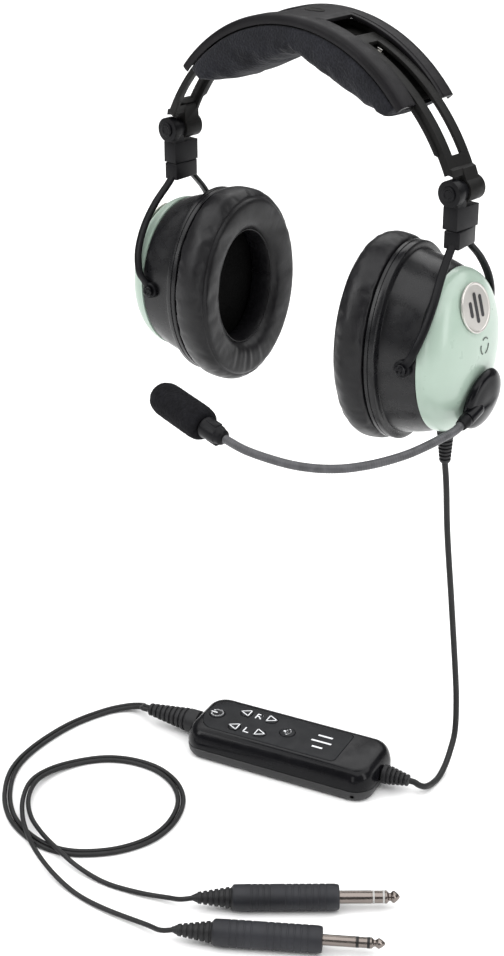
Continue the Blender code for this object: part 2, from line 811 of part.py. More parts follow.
KEYS = {
    "power_button": (-44.0, 0.0, 4.3),
    "right_up_button": (-29.5, 7.6, 3.4),
    "right_down_button": (-14.0, 7.6, 3.4),
    "left_up_button": (-29.5, -7.6, 3.4),
    "left_down_button": (-14.0, -7.6, 3.4),
    "wireless_button": (-0.8, 0.0, 4.3),
}
cut(top, bridge([pad_plan(-0.35, 17.0), pad_plan(-0.35, 20.0)]))
cut(top, *[rod(module(s, t, 14.0), module(s, t, 19.0), 1.9, 10) for s, t, r in KEYS.values()])
cut(top, along(46, 64, BOOT_T, BOOT_H, 3.6), along(-46, -64, BOOT_T, BOOT_H, 3.6))
keypad = solid("keypad", bridge([pad_plan(0.0, 17.3), pad_plan(0.0, 18.2)]), PANEL, lead_joint)
cut(keypad, *[rod(module(s, t, 16.0), module(s, t, 19.5), r + 0.45, 12) for s, t, r in KEYS.values()])
for name, (s, t, r) in KEYS.items():
    key = pivot(name + "_joint", module(s, t, 18.0), lead_joint)
    solid(
        name,
        turned(module(s, t, 14.6), (0, 0, 1), [(0, 1.4), (2.9, 1.4), (2.9, r), (3.9, r), (4.3, r - 0.5)], 10),
        PANEL,
        key,
    )
solid("module_board", module_box(-47.0, 0.5, -15.5, 15.5, 12.2, 13.4), BOARD, lead_joint)
for word, t in (("front", -5.7), ("rear", 5.7)):
    solid(
        "battery_" + word,
        turned(module(2.5, t, 9.0), Vector(module(1, 0, 0)) - Vector(module(0, 0, 0)), [(0, 5.2), (43.0, 5.2), (43.0, 1.9), (44.0, 1.9)], 14),
        CELL,
        lead_joint,
    )


def ribbed(start, way, neck, lengths, big, small, count):
    """Strain relief: a necked collar followed by rings that get smaller."""
    prof = [(0, neck + 1.0), (1.6, neck + 1.0), (1.6, neck), (lengths[0], neck), (lengths[0], big), (lengths[1], big)]
    step = (lengths[2] - lengths[1]) / count
    for k in range(count):
        r = big + (small - big) * (k + 0.5) / count
        x = lengths[1] + step * k
        prof += [(x + step * 0.4, r - 0.8), (x + step * 0.5, r), (x + step * 0.98, r - 0.1)]
    return turned(start, way, prof, 10)


forward = (Vector(module(1, 0, 0)) - Vector(module(0, 0, 0))).normalized()
solid("module_inlet_boot", ribbed(module(50.1, BOOT_T, BOOT_H), forward, 3.2, (5.8, 8.4, 20.2), 5.2, 3.0, 3), RUBBER, lead_joint)
solid("module_outlet_boot", ribbed(module(-50.1, BOOT_T, BOOT_H), -forward, 3.2, (5.8, 12.0, 37.7), 6.6, 3.4, 5), RUBBER, lead_joint)

cord_z = FLOOR_Z + MAIN_CORD_D / 2
tip = Vector(module(71.2, BOOT_T, BOOT_H))
main_route = [
    tuple(lead_start),
    tuple(lead_start + Vector((0.8, 1.2, -14.0))),
    (86.5, 11.5, -108.0),
    (89.0, 15.0, -150.0),
    (92.2, 17.8, -195.0),
    (94.6, 16.5, -213.0),
    (97.0, 13.0, -226.0),
    (99.5, 6.0, -233.5),
    (102.0, -2.0, -238.5),
    (104.2, -10.5, -240.7),
    (105.4, -18.5, -240.3),
    (106.0, -25.0, -238.3),
    (105.0, -28.6, -236.2),
    tuple(tip + forward * 2.4),
    tuple(tip),
]
tube("lead_cord", main_route, 34, MAIN_CORD_D, RUBBER, lead_joint)

LOOP = [
    (-63.0, -70.5), (-71.5, -74.0), (-78.5, -86.0), (-82.5, -109.0), (-80.0, -137.0), (-72.5, -158.5), (-58.0, -176.0), (-42.0, -187.5),
    (-26.0, -193.0), (-9.0, -194.0), (5.5, -189.0), (17.5, -178.0), (25.0, -165.0), (28.0, -150.5),
    (25.0, -134.5), (16.0, -119.5), (2.5, -110.0), (-13.5, -106.5), (-29.0, -109.5), (-42.0, -117.5),
    (-51.0, -130.0), (-55.0, -146.0), (-53.0, -161.0), (-44.5, -174.5),
]
PHONES_TAIL = [(-30.0, -184.0), (-15.0, -190.0), (1.0, -193.8), (19.0, -195.8), (37.0, -194.2), (55.0, -189.0), (70.0, -183.3)]
MIC_TAIL = [(-33.0, -187.0), (-19.5, -195.5), (-3.0, -203.2), (15.0, -208.0), (33.0, -209.8), (52.0, -208.8), (76.0, -205.0)]
PLUGS = {
    "phones": ((83.4, -177.2), 42.6, 3.175),
    "mic": ((93.0, -200.9), 36.2, 2.62),
}
PLUG_H = 6.7
lead_z = FLOOR_Z + MIC_CORD_D / 2 + 0.05
exit_tip = Vector(module(-88.8, BOOT_T, BOOT_H))


def lead_route(shift, tail, plug):
    """The pair of leads side by side round the loop, then each to its plug."""
    (px, py), turn, _ = PLUGS[plug]
    way = Vector((math.cos(math.radians(turn)), math.sin(math.radians(turn)), 0))
    centre = [Vector((x, y, 0)) for x, y in LOOP]
    flat = []
    for i, p in enumerate(centre):
        a, b = centre[max(i - 1, 0)], centre[min(i + 1, len(centre) - 1)]
        d = (b - a).normalized()
        flat.append(p + Vector((d.y, -d.x, 0)) * shift)
    flat += [Vector((x, y, 0)) for x, y in tail]
    side_step = Vector((-math.sin(heading), math.cos(heading), 0)) * shift
    route = [exit_tip + side_step, exit_tip - forward * 3.5 + side_step]
    for i, p in enumerate(flat):
        lift = 2.75 if 22 <= i <= 26 else (1.4 if i in (21, 27) else 0.0)
        if i == 0:
            lift = 3.4
        elif i == 1:
            lift = 1.0
        route.append(Vector((p.x, p.y, lead_z + lift)))
    start = Vector((px, py, FLOOR_Z + PLUG_H)) - way * 0.9
    route += [start - way * 7 - Vector((0, 0, 1.2)), start]
    return route


for plug, shift, tail in (("phones", -1.45, PHONES_TAIL), ("mic", 1.45, MIC_TAIL)):
    tube(plug + "_cord", lead_route(shift, tail, plug), 60, MIC_CORD_D, RUBBER, lead_joint)
    (px, py), turn, shaft = PLUGS[plug]
    way = Vector((math.cos(math.radians(turn)), math.sin(math.radians(turn)), 0))
    at = Vector((px, py, FLOOR_Z + PLUG_H))
    prof = [(0, 2.3)]
    for k in range(4):
        r = 2.8 + 0.65 * k
        prof += [(0.4 + 4.1 * k, r), (2.7 + 4.1 * k, r + 0.3), (3.2 + 4.1 * k, r - 0.5)]
    prof += [(16.6, 5.0), (17.8, 6.3), (66.0, 6.5), (68.9, 5.9), (68.9, shaft + 0.35), (50.0, shaft + 0.35), (50.0, 0)]
    solid(plug + "_plug_body", turned(at, way, prof, 12), SATIN, lead_joint)
    r = shaft
    prof = [(50.6, r), (77.0, r), (77.3, r - 0.25), (83.7, r - 0.25), (84.0, r), (91.5, r), (93.0, r * 0.7), (95.0, r * 0.95), (98.4, 0)]
    solid(plug + "_plug_contact", turned(at, way, prof, 12), STEEL, lead_joint)
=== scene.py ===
from math import atan2, copysign, cos, degrees, exp, hypot, isfinite, pi, radians, sin, sqrt, tau

import bmesh
import bpy
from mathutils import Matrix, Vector, noise


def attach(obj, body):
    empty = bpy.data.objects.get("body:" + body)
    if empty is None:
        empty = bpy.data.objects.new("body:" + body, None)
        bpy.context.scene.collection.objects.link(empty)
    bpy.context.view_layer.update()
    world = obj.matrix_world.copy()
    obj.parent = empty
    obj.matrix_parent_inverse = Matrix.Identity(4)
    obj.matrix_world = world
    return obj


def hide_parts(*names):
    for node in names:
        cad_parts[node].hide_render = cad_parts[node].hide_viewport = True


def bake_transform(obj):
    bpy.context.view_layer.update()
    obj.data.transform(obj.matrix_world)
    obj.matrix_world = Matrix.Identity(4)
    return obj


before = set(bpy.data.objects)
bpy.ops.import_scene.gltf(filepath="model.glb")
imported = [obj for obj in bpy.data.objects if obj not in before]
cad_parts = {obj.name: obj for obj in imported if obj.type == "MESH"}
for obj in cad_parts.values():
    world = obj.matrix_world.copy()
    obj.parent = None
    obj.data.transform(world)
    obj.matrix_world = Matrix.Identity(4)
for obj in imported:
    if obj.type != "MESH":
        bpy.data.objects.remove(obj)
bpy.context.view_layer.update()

# Layout lengths are in millimetres and heights from the cups' tilt axis; to_frame adds DROP and gives metres.
MM, DROP = 0.001, -136.0
TOE_OUT, RIGHT_TURN = radians(8.7), radians(4.0)
BAND_Z, BAND_R, BAND_HALF = 60.5, 93.0, 20.4
SLIDER_X, SLIDER_Z, SLIDER_R = 1.55, 46.1, 104.0
HINGE_X, HINGE_Z, SWIVEL_Z, YOKE_BOTTOM = 93.0, 80.6, 62.6, 53.4
TILT_X = 84.6
FLOOR_Z = -242.5
DOME_BASE, DOME_HEIGHT, DOME_HALF, DOME_POWER = 91.4, 17.0, (36.4, 41.8), 2.3
BADGE_AT, BADGE_R, BOOM_AT = (-4.5, 25.5), 12.4, (1.0, -22.3)

# ---------------------------------------------------------------- camera, floor, light
camera = bpy.data.objects.new("camera", bpy.data.cameras.new("camera"))
bpy.context.scene.collection.objects.link(camera)
camera.data.sensor_width = 36.0
camera.data.lens = 67.79
camera.data.clip_end = 50
camera.location = (0.578, -0.683, 0.177)
camera.rotation_euler = (radians(90 - 24.7), 0, radians(42.2))
bpy.context.scene.camera = camera
bpy.context.scene.view_settings.view_transform = "Standard"


def light(name, at, aim, size, power, size_y):
    data = bpy.data.lights.new(name, "AREA")
    data.shape = "RECTANGLE"
    data.size = size
    data.size_y = size_y
    data.energy = power
    obj = bpy.data.objects.new(name, data)
    bpy.context.scene.collection.objects.link(obj)
    obj.location = at
    obj.rotation_euler = (Vector(aim) - Vector(at)).to_track_quat("-Z", "Y").to_euler()


light("ceiling", (0, 1.2, 3.6), (0, 1.2, -1), 9.0, 560, size_y=9.0)
light("key", (-0.9, -1.7, 0.9), (0, 0, -0.1), 0.7, 16, size_y=1.3)
light("right_strip", (1.9, 0.1, 0.5), (0, 0, -0.15), 0.5, 11, size_y=1.5)
light("front_strip", (0.75, -1.6, -0.1), (0, 0, -0.2), 0.35, 4, size_y=1.2)
world = bpy.data.worlds.new("studio")
bpy.context.scene.world = world
world.use_nodes = True
world.node_tree.nodes["Background"].inputs[0].default_value = (1, 1, 1, 1)
world.node_tree.nodes["Background"].inputs[1].default_value = 0.22

# ---------------------------------------------------------------- materials


def material(
    name, colour, rough=0.5, metallic=0.0, vary=0.15, vary_scale=60.0, rough_vary=0.06, grain=0.0,
    grain_scale=2500.0, coat=0.0, sheen=0.0, specular=0.5, pattern=None, edge=0.0
):
    """A surface in object space: drifting colour and roughness, fine grain, and a weave, hide or foam."""
    m = bpy.data.materials.new(name)
    m.use_nodes = True
    n, link = m.node_tree.nodes, m.node_tree.links
    bsdf = n["Principled BSDF"]
    bsdf.inputs["Metallic"].default_value = metallic
    bsdf.inputs["Coat Weight"].default_value = coat
    bsdf.inputs["Coat Roughness"].default_value = 0.12
    bsdf.inputs["Sheen Weight"].default_value = sheen
    bsdf.inputs["Specular IOR Level"].default_value = specular
    where = n.new("ShaderNodeTexCoord").outputs["Object"]

    def cloud(scale, detail=3.0):
        tex = n.new("ShaderNodeTexNoise")
        tex.inputs["Scale"].default_value = scale
        tex.inputs["Detail"].default_value = detail
        link.new(where, tex.inputs["Vector"])
        return tex.outputs["Fac"]

    def spread(value, low, high):
        r = n.new("ShaderNodeMapRange")
        link.new(value, r.inputs["Value"])
        r.inputs["From Min"].default_value = 0.3
        r.inputs["From Max"].default_value = 0.7
        r.inputs["To Min"].default_value = low
        r.inputs["To Max"].default_value = high
        return r.outputs["Result"]

    def scaled(value, factor):
        mix = n.new("ShaderNodeMix")
        mix.data_type = "RGBA"
        link.new(value, mix.inputs["Factor"])
        mix.inputs[6].default_value = (*[c * (1 - factor) for c in colour], 1)
        mix.inputs[7].default_value = (*[min(1.0, c * (1 + factor)) for c in colour], 1)
        return mix.outputs[2]

    tint = scaled(spread(cloud(vary_scale), 0.0, 1.0), vary)
    link.new(
        spread(cloud(vary_scale * 2.7), rough - rough_vary, rough + rough_vary), bsdf.inputs["Roughness"]
    )
    heights = []
    if grain:
        heights.append((cloud(grain_scale, 2.0), grain))
    if pattern:
        kind, size, depth, shade = pattern
        if kind == "foam":
            value = cloud(1.0 / size, 6.0)
        else:
            tex = n.new("ShaderNodeTexVoronoi")
            tex.inputs["Scale"].default_value = 1.0 / size
            value = tex.outputs["Distance"]
            if kind == "knit":
                stretch = n.new("ShaderNodeMapping")
                stretch.inputs["Scale"].default_value = (1.0, 0.62, 1.0)
                link.new(where, stretch.inputs["Vector"])
                link.new(stretch.outputs["Vector"], tex.inputs["Vector"])
            else:
                tex.feature = "DISTANCE_TO_EDGE"
                link.new(where, tex.inputs["Vector"])
        heights.append((value, depth))
        # shade: the pattern's low places, which the bump below also sinks, are darkened in colour: painted
        # shade in the hollows of the weave and the foam
        if shade:
            hollow_shade = n.new("ShaderNodeMix")
            hollow_shade.data_type = "RGBA"
            hollow_shade.blend_type = "MULTIPLY"
            hollow_shade.inputs["Factor"].default_value = shade
            link.new(tint, hollow_shade.inputs[6])
            link.new(value, hollow_shade.inputs[7])
            tint = hollow_shade.outputs[2]
    # edge: the base colour is lightened on sharp convex edges, found by pointiness
    if edge:
        geo = n.new("ShaderNodeNewGeometry")
        edge_lightening = n.new("ShaderNodeMapRange")
        link.new(geo.outputs["Pointiness"], edge_lightening.inputs["Value"])
        edge_lightening.inputs["From Min"].default_value = 0.53
        edge_lightening.inputs["From Max"].default_value = 0.62
        edge_lightening.inputs["To Max"].default_value = edge
        light_mix = n.new("ShaderNodeMix")
        light_mix.data_type = "RGBA"
        link.new(edge_lightening.outputs["Result"], light_mix.inputs["Factor"])
        link.new(tint, light_mix.inputs[6])
        light_mix.inputs[7].default_value = (*[min(1.0, c * 3 + 0.02) for c in colour], 1)
        tint = light_mix.outputs[2]
    link.new(tint, bsdf.inputs["Base Color"])
    normal = None
    for value, depth in heights:
        bump = n.new("ShaderNodeBump")
        bump.inputs["Strength"].default_value = 1.0
        bump.inputs["Distance"].default_value = depth * MM
        link.new(value, bump.inputs["Height"])
        if normal:
            link.new(normal, bump.inputs["Normal"])
        normal = bump.outputs["Normal"]
    if normal:
        link.new(normal, bsdf.inputs["Normal"])
    return m


SATIN = material("satin_black", (0.005, 0.005, 0.006), 0.36, grain=0.02, vary=0.2, edge=0.08, specular=0.12)
SHELL = material("shell_black", (0.006, 0.006, 0.007), 0.28, grain=0.012, vary=0.2, specular=0.3)
COVER = material(
    "cover_black", (0.006, 0.0055, 0.0065), 0.42, grain=0.03, vary=0.25, edge=0.06, specular=0.13
)
SLIDER = material(
    "slider_black", (0.008, 0.0078, 0.0075), 0.5, grain=0.02, vary=0.2, edge=0.10, specular=0.12
)
KNIT = material(
    "knit", (0.016, 0.0165, 0.021), 0.9, grain=0.05, grain_scale=1400, sheen=0.08,
    pattern=("knit", 0.0012, 0.3, 0.6), vary=0.3, specular=0.12
)
LINER = material(
    "liner_rubber", (0.010, 0.0095, 0.009), 0.7, grain=0.12, grain_scale=900, vary=0.5, vary_scale=240,
    specular=0.2
)
HIDE = material(
    "leatherette", (0.006, 0.0058, 0.0068), 0.38, pattern=("hide", 0.0013, 0.05, 0.0), grain=0.05,
    grain_scale=500, vary=0.25, rough_vary=0.08, specular=0.27
)
THREAD = material("thread", (0.06, 0.06, 0.065), 0.7, grain=0.03, vary=0.3, vary_scale=900)
SCRIM = material("scrim", (0.004, 0.004, 0.004), 0.95, pattern=("knit", 0.0009, 0.15, 0.5), specular=0.08)
MINT = material(
    "mint", (0.335, 0.43, 0.362), 0.30, vary=0.035, rough_vary=0.03, coat=0.25, grain=0.004, grain_scale=900
)
FOIL = material(
    "silver_foil", (0.62, 0.60, 0.57), 0.36, metallic=0.85, vary=0.08, grain=0.008, grain_scale=1800
)
INK = material("ink", (0.008, 0.008, 0.01), 0.35, vary=0.2)
GLOSS = material(
    "gloss_black", (0.003, 0.003, 0.004), 0.2, vary=0.2, rough_vary=0.03, grain=0.003, grain_scale=700,
    specular=0.16
)
BOOM = material(
    "boom_sleeve", (0.060, 0.060, 0.065), 0.42, vary=0.3, vary_scale=200, grain=0.02, specular=0.4
)
FOAM = material(
    "muff_foam", (0.010, 0.010, 0.012), 0.95, pattern=("foam", 0.0016, 0.9, 0.6), specular=0.12, vary=0.3,
    vary_scale=300
)
RUBBER = material(
    "cord_rubber", (0.009, 0.009, 0.0095), 0.5, grain=0.02, vary=0.25, vary_scale=120, specular=0.3
)
BOOT = material("boot_rubber", (0.010, 0.010, 0.011), 0.52, grain=0.03, vary=0.25, specular=0.3)
MODULE = material("module_black", (0.004, 0.004, 0.005), 0.22, grain=0.006, vary=0.2, specular=0.15)
BASE = material("module_base", (0.020, 0.020, 0.021), 0.40, grain=0.02, vary=0.2, specular=0.35)
FILM = material("keypad_film", (0.007, 0.0075, 0.009), 0.42, grain=0.01, vary=0.2, specular=0.18)
MARKS = material("pale_marks", (0.72, 0.73, 0.75), 0.55, vary=0.12, vary_scale=400)
STEEL = material("nickel", (0.20, 0.175, 0.16), 0.2, metallic=1.0, vary=0.08, rough_vary=0.05, grain=0.002)
PLUG = material("plug_charcoal", (0.014, 0.0145, 0.018), 0.5, grain=0.03, vary=0.25, specular=0.3)
RING = material("ring_black", (0.008, 0.008, 0.008), 0.35, vary=0.2, specular=0.3)
BOARD = material("board", (0.02, 0.10, 0.04), 0.5, vary=0.3, grain=0.02)
CELL = material("cell", (0.12, 0.13, 0.15), 0.4, vary=0.2, grain=0.01)
CLIP = material("spring_clip", (0.45, 0.44, 0.42), 0.3, metallic=1.0, vary=0.1, grain=0.004)

# ---------------------------------------------------------------- mesh helpers


def to_frame(p):
    return Vector((p[0], p[1], p[2] + DROP)) * MM


def circle(count):
    """Cosine and sine of evenly spaced angles."""
    return [(cos(t), sin(t)) for t in (tau * i / count for i in range(count))]


def heading(turn):
    """The level direction turned by so many degrees from x."""
    return Vector((cos(radians(turn)), sin(radians(turn)), 0))


def rings_part(rings, loop=False, caps=True):
    """Joins rings of points one after another, a ring of one point being a tip."""
    verts, faces, index = [], [], []
    for ring in rings:
        index.append(range(len(verts), len(verts) + len(ring)))
        verts += [Vector(p) for p in ring]
    pairs = list(zip(index, index[1:])) + ([(index[-1], index[0])] if loop else [])
    for a, b in pairs:
        n = max(len(a), len(b))
        for i in range(n):
            j = (i + 1) % n
            if len(a) == 1:
                faces.append((a[0], b[i], b[j]))
            elif len(b) == 1:
                faces.append((a[j], a[i], b[0]))
            else:
                faces.append((a[j], a[i], b[i], b[j]))
    if caps and not loop:
        for ring in (index[0], index[-1]):
            if len(ring) > 2:
                faces.append(tuple(ring))
    return verts, faces


def axes_of(direction):
    z = Vector(direction).normalized()
    x = z.cross(Vector((0, 0, 1)) if abs(z.z) < 0.9 else Vector((0, 1, 0))).normalized()
    return x, z.cross(x), z


def lathe(start, direction, profile, segments=40, loop=False):
    x, y, z = axes_of(direction)
    start = Vector(start)
    rings = []
    for along, radius in profile:
        if radius <= 0:
            rings.append([start + z * along])
        else:
            rings.append([start + z * along + (x * c + y * s) * radius for c, s in circle(segments)])
    return rings_part(rings, loop=loop)


def rod(start, end, radius, segments=40):
    d = Vector(end) - Vector(start)
    return lathe(start, d, [(0, radius), (d.length, radius)], segments)


def box(low, high):
    plan = [(0, 0), (1, 0), (1, 1), (0, 1)]
    c = (low, high)
    return rings_part([[(c[i][0], c[j][1], c[k][2]) for i, j in plan] for k in (0, 1)])


def block_at(c, d, n, x, y, h):
    """A block at c: x along d, h along n and y straight back, each given as low and high."""
    plan = ((y[0], h[0]), (y[1], h[0]), (y[1], h[1]), (y[0], h[1]))
    return rings_part([[c + d * s + n * r + Vector((0, q, 0)) for q, r in plan] for s in x])


def moved(part, f):
    return [Vector(f(v)) for v in part[0]], part[1]


def smooth_path(route, count):
    """A smooth curve through the route, as so many evenly spaced points."""
    pts = [Vector(p) for p in route]
    pts = [2 * pts[0] - pts[1], *pts, 2 * pts[-1] - pts[-2]]
    out = []
    for i in range(1, len(pts) - 2):
        p0, p1, p2, p3 = pts[i - 1 : i + 3]
        for k in range(24):
            t = k / 24
            bend = (2 * p0 - 5 * p1 + 4 * p2 - p3) * t * t
            out.append(0.5 * (2 * p1 + (p2 - p0) * t + bend + (3 * p1 - p0 - 3 * p2 + p3) * t**3))
    out.append(pts[-2])
    lengths = [0.0]
    for a, b in zip(out, out[1:]):
        lengths.append(lengths[-1] + (b - a).length)
    even, k = [], 0
    for i in range(count):
        want = lengths[-1] * i / (count - 1)
        while k < len(out) - 2 and lengths[k + 1] < want:
            k += 1
        t = (want - lengths[k]) / max(lengths[k + 1] - lengths[k], 1e-9)
        even.append(out[k].lerp(out[k + 1], min(1.0, t)))
    return even


def tube(path, radius, sides):
    """A swept round tube with flat ends; radius may be a function of (fraction, distance)."""
    rings, x = [], Vector((0, 0, 1))
    n, far = len(path), 0.0
    get = radius if callable(radius) else (lambda f, d: radius)
    for i, p in enumerate(path):
        d = (path[min(i + 1, n - 1)] - path[max(i - 1, 0)]).normalized()
        if i:
            far += (p - path[i - 1]).length
        x = (x - d * x.dot(d)).normalized()
        y = d.cross(x)
        r = get(i / (n - 1), far)
        rings.append([p + (x * c + y * s) * r for c, s in circle(sides)])
    return rings_part(rings)


def strip_sweep(path, across, half_w, half_t, sides, power):
    """A flat strip with rounded edges along path; across is the width's direction."""
    rings, n = [], len(path)
    for i, p in enumerate(path):
        d = (path[min(i + 1, n - 1)] - path[max(i - 1, 0)]).normalized()
        w = (Vector(across) - d * d.dot(Vector(across))).normalized()
        t = d.cross(w)
        ring = []
        for k in range(sides):
            a = tau * k / sides
            c, s = cos(a), sin(a)
            ring.append(
                p + w * half_w * copysign(abs(c) ** (2 / power), c)
                + t * half_t * copysign(abs(s) ** (2 / power), s)
            )
        rings.append(ring)
    return rings_part(rings)


def arc_sweep(centre, section, start, end, steps, side=1.0):
    """A section of (radius, depth) points swept round a level axis, angles from straight up."""
    rings = []
    for k in range(steps + 1):
        a = radians(start + (end - start) * k / steps)
        rings.append(
            [(side * (centre[0] + r * sin(a)), y, centre[1] + r * cos(a)) for r, y in section(degrees(a))]
        )
    return rings_part(rings)


def to_mesh(name, parts):
    bm = bmesh.new()
    for verts, faces in parts:
        made = [bm.verts.new(to_frame(v)) for v in verts]
        for f in faces:
            bm.faces.new([made[i] for i in f])
    bmesh.ops.recalc_face_normals(bm, faces=bm.faces)
    mesh = bpy.data.meshes.new(name)
    bm.to_mesh(mesh)
    bm.free()
    return mesh


def link(name, mesh):
    obj = bpy.data.objects.new(name, mesh)
    bpy.context.scene.collection.objects.link(obj)
    return obj


def repaint(obj, look):
    obj.data.materials.clear()
    obj.data.materials.append(look)


def bake(obj):
    """Applies the object's modifiers to its mesh."""
    depsgraph = bpy.context.evaluated_depsgraph_get()
    mesh = bpy.data.meshes.new_from_object(obj.evaluated_get(depsgraph))
    obj.modifiers.clear()
    obj.data = mesh


def shade(obj, angle=35.0):
    obj.data.shade_smooth()
    obj.data.set_sharp_from_angle(angle=radians(angle))


def cut(part):
    return "DIFFERENCE", part


def add(part):
    return "UNION", part


def carve(obj, steps):
    """Joins or cuts parts one by one."""
    for kind, part in steps:
        other = link("tool", to_mesh("tool", [part]))
        mod = obj.modifiers.new("b", "BOOLEAN")
        mod.operation, mod.object, mod.solver = kind, other, "EXACT"
        bake(obj)
        bpy.data.objects.remove(other, do_unlink=True)


def round_edges(obj, width, segments, angle):
    mod = obj.modifiers.new("edges", "BEVEL")
    mod.width, mod.segments = width * MM, segments
    mod.limit_method, mod.angle_limit = "ANGLE", radians(angle)
    bake(obj)


def refine(obj):
    mod = obj.modifiers.new("fine", "SUBSURF")
    mod.levels = mod.render_levels = 1
    bake(obj)


def dress(obj, body, look, replaces=None, angle=35.0):
    """Shading, material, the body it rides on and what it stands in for."""
    shade(obj, angle)
    repaint(obj, look)
    if body:
        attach(obj, body)
    if replaces:
        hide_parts(replaces)
    return obj


def piece(name, parts, body, look, replaces=None, steps=(), bevel=0.0, segments=3, angle=35.0):
    """One part or a list of parts as an object; steps join or cut, bevel is a width in millimetres."""
    obj = link(name, to_mesh(name, parts if isinstance(parts, list) else [parts]))
    carve(obj, steps)
    if bevel:
        round_edges(obj, bevel, segments, 32)
    return dress(obj, body, look, replaces, angle)


def table_at(x, table):
    """Eased value at x between the rows of a table of (x, value)."""
    for (x0, y0), (x1, y1) in zip(table, table[1:]):
        if x <= x1:
            t = max(0.0, (x - x0) / (x1 - x0))
            return y0 + (y1 - y0) * t * t * (3 - 2 * t)
    return table[-1][1]


# ---------------------------------------------------------------- cords first

HEADING = radians(15.4)
MODULE_X, MODULE_Y, MODULE_L, MODULE_W = 32.1, -51.1, 111.0, 42.0
BOOT_T, BOOT_H = 1.5, 8.0
MAIN_D, LEAD_D = 3.3, 2.5


def module(s, t, h):
    """Along the module, across it and up from the floor, to the layout."""
    c, n = cos(HEADING), sin(HEADING)
    return Vector((MODULE_X + s * c - t * n, MODULE_Y + s * n + t * c, FLOOR_Z + h))


def toed(p):
    """Left cup coordinates to the layout: turned outward about the hinge."""
    c, n = cos(TOE_OUT), sin(TOE_OUT)
    return Vector((HINGE_X + (p[0] - HINGE_X) * c - p[1] * n, (p[0] - HINGE_X) * n + p[1] * c, p[2]))


forward = (module(1, 0, 0) - module(0, 0, 0)).normalized()
boot_way = Vector((0.0, 0.06, -1.0)).normalized()
boot_start = Vector((86.0, 8.2, -37.4))
lead_start = toed(boot_start + boot_way * 29.0)
tip = module(71.2, BOOT_T, BOOT_H)
main_route = [
    lead_start, lead_start + Vector((0.8, 1.2, -14.0)), (86.5, 11.5, -108.0), (89.0, 15.0, -150.0),
    (92.2, 17.8, -195.0), (94.6, 16.5, -213.0), (97.0, 13.0, -226.0), (99.5, 6.0, -233.5),
    (102.0, -2.0, -238.5), (104.2, -10.5, -240.7), (105.4, -18.5, -240.3), (106.0, -25.0, -238.3),
    (105.0, -28.6, -236.2), tip + forward * 2.4, tip
]
LOOP = [
    (-63.0, -70.5), (-71.5, -74.0), (-78.5, -86.0), (-82.5, -109.0), (-80.0, -137.0), (-72.5, -158.5),
    (-58.0, -176.0), (-42.0, -187.5), (-26.0, -193.0), (-9.0, -194.0), (5.5, -189.0), (17.5, -178.0),
    (25.0, -165.0), (28.0, -150.5), (25.0, -134.5), (16.0, -119.5), (2.5, -110.0), (-13.5, -106.5),
    (-29.0, -109.5), (-42.0, -117.5), (-51.0, -130.0), (-55.0, -146.0), (-53.0, -161.0), (-44.5, -174.5)
]
PHONES_TAIL = [
    (-30.0, -184.0), (-15.0, -190.0), (1.0, -193.8), (19.0, -195.8), (37.0, -194.2), (55.0, -189.0),
    (70.0, -183.3)
]
MIC_TAIL = [
    (-33.0, -187.0), (-19.5, -195.5), (-3.0, -203.2), (15.0, -208.0), (33.0, -209.8), (52.0, -208.8),
    (76.0, -205.0)
]
PLUGS = {"phones": ((83.4, -177.2), 42.6, 3.175), "mic": ((93.0, -200.9), 36.2, 2.62)}
PLUG_H = 6.7
exit_tip = module(-88.8, BOOT_T, BOOT_H)
lead_z = FLOOR_Z + LEAD_D / 2 + 0.05


def lead_route(shift, tail, plug):
    (px, py), turn, _ = PLUGS[plug]
    way = heading(turn)
    centre = [Vector((x, y, 0)) for x, y in LOOP]
    flat = []
    for i, p in enumerate(centre):
        a, b = centre[max(i - 1, 0)], centre[min(i + 1, len(centre) - 1)]
        d = (b - a).normalized()
        flat.append(p + Vector((d.y, -d.x, 0)) * shift)
    flat += [Vector((x, y, 0)) for x, y in tail]
    side_step = Vector((-sin(HEADING), cos(HEADING), 0)) * shift
    route = [exit_tip + side_step, exit_tip - forward * 3.5 + side_step]
    for i, p in enumerate(flat):
        lift = 2.75 if 22 <= i <= 26 else (1.4 if i in (21, 27) else 0.0)
        lift = {0: 3.4, 1: 1.0}.get(i, lift)
        route.append(Vector((p.x, p.y, lead_z + lift)))
    start = Vector((px, py, FLOOR_Z + PLUG_H)) - way * 0.9
    route[-1].z += 1.9
    route[-2].z += 0.5
    return route + [start - way * 7 - Vector((0, 0, 0.9)), start]


main_path = smooth_path(main_route, 220)
lead_cord = piece("lead_cable", tube(main_path, MAIN_D / 2, 20), None, RUBBER)
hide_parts("lead_cord")
lead_paths = {}
for plug, shift, tail in (("phones", -1.45, PHONES_TAIL), ("mic", 1.45, MIC_TAIL)):
    lead_paths[plug] = smooth_path(lead_route(shift, tail, plug), 420)
    piece(
        plug + "_cable", tube(lead_paths[plug], LEAD_D / 2, 16), "lead", RUBBER, replaces=plug + "_cord",
    )

# ---------------------------------------------------------------- headband

# each slot starts this many degrees from the crown and reaches this far to either side of the middle
SLOT_START, SLOT_HALF = 9.5, 9.7


def cover_profile():
    w = BAND_HALF
    return [
        (88.0, w - 0.7), (88.3, w - 0.2), (90.0, w), (91.6, w - 0.2), (92.5, w - 0.9), (BAND_R, w - 2.4)
    ]


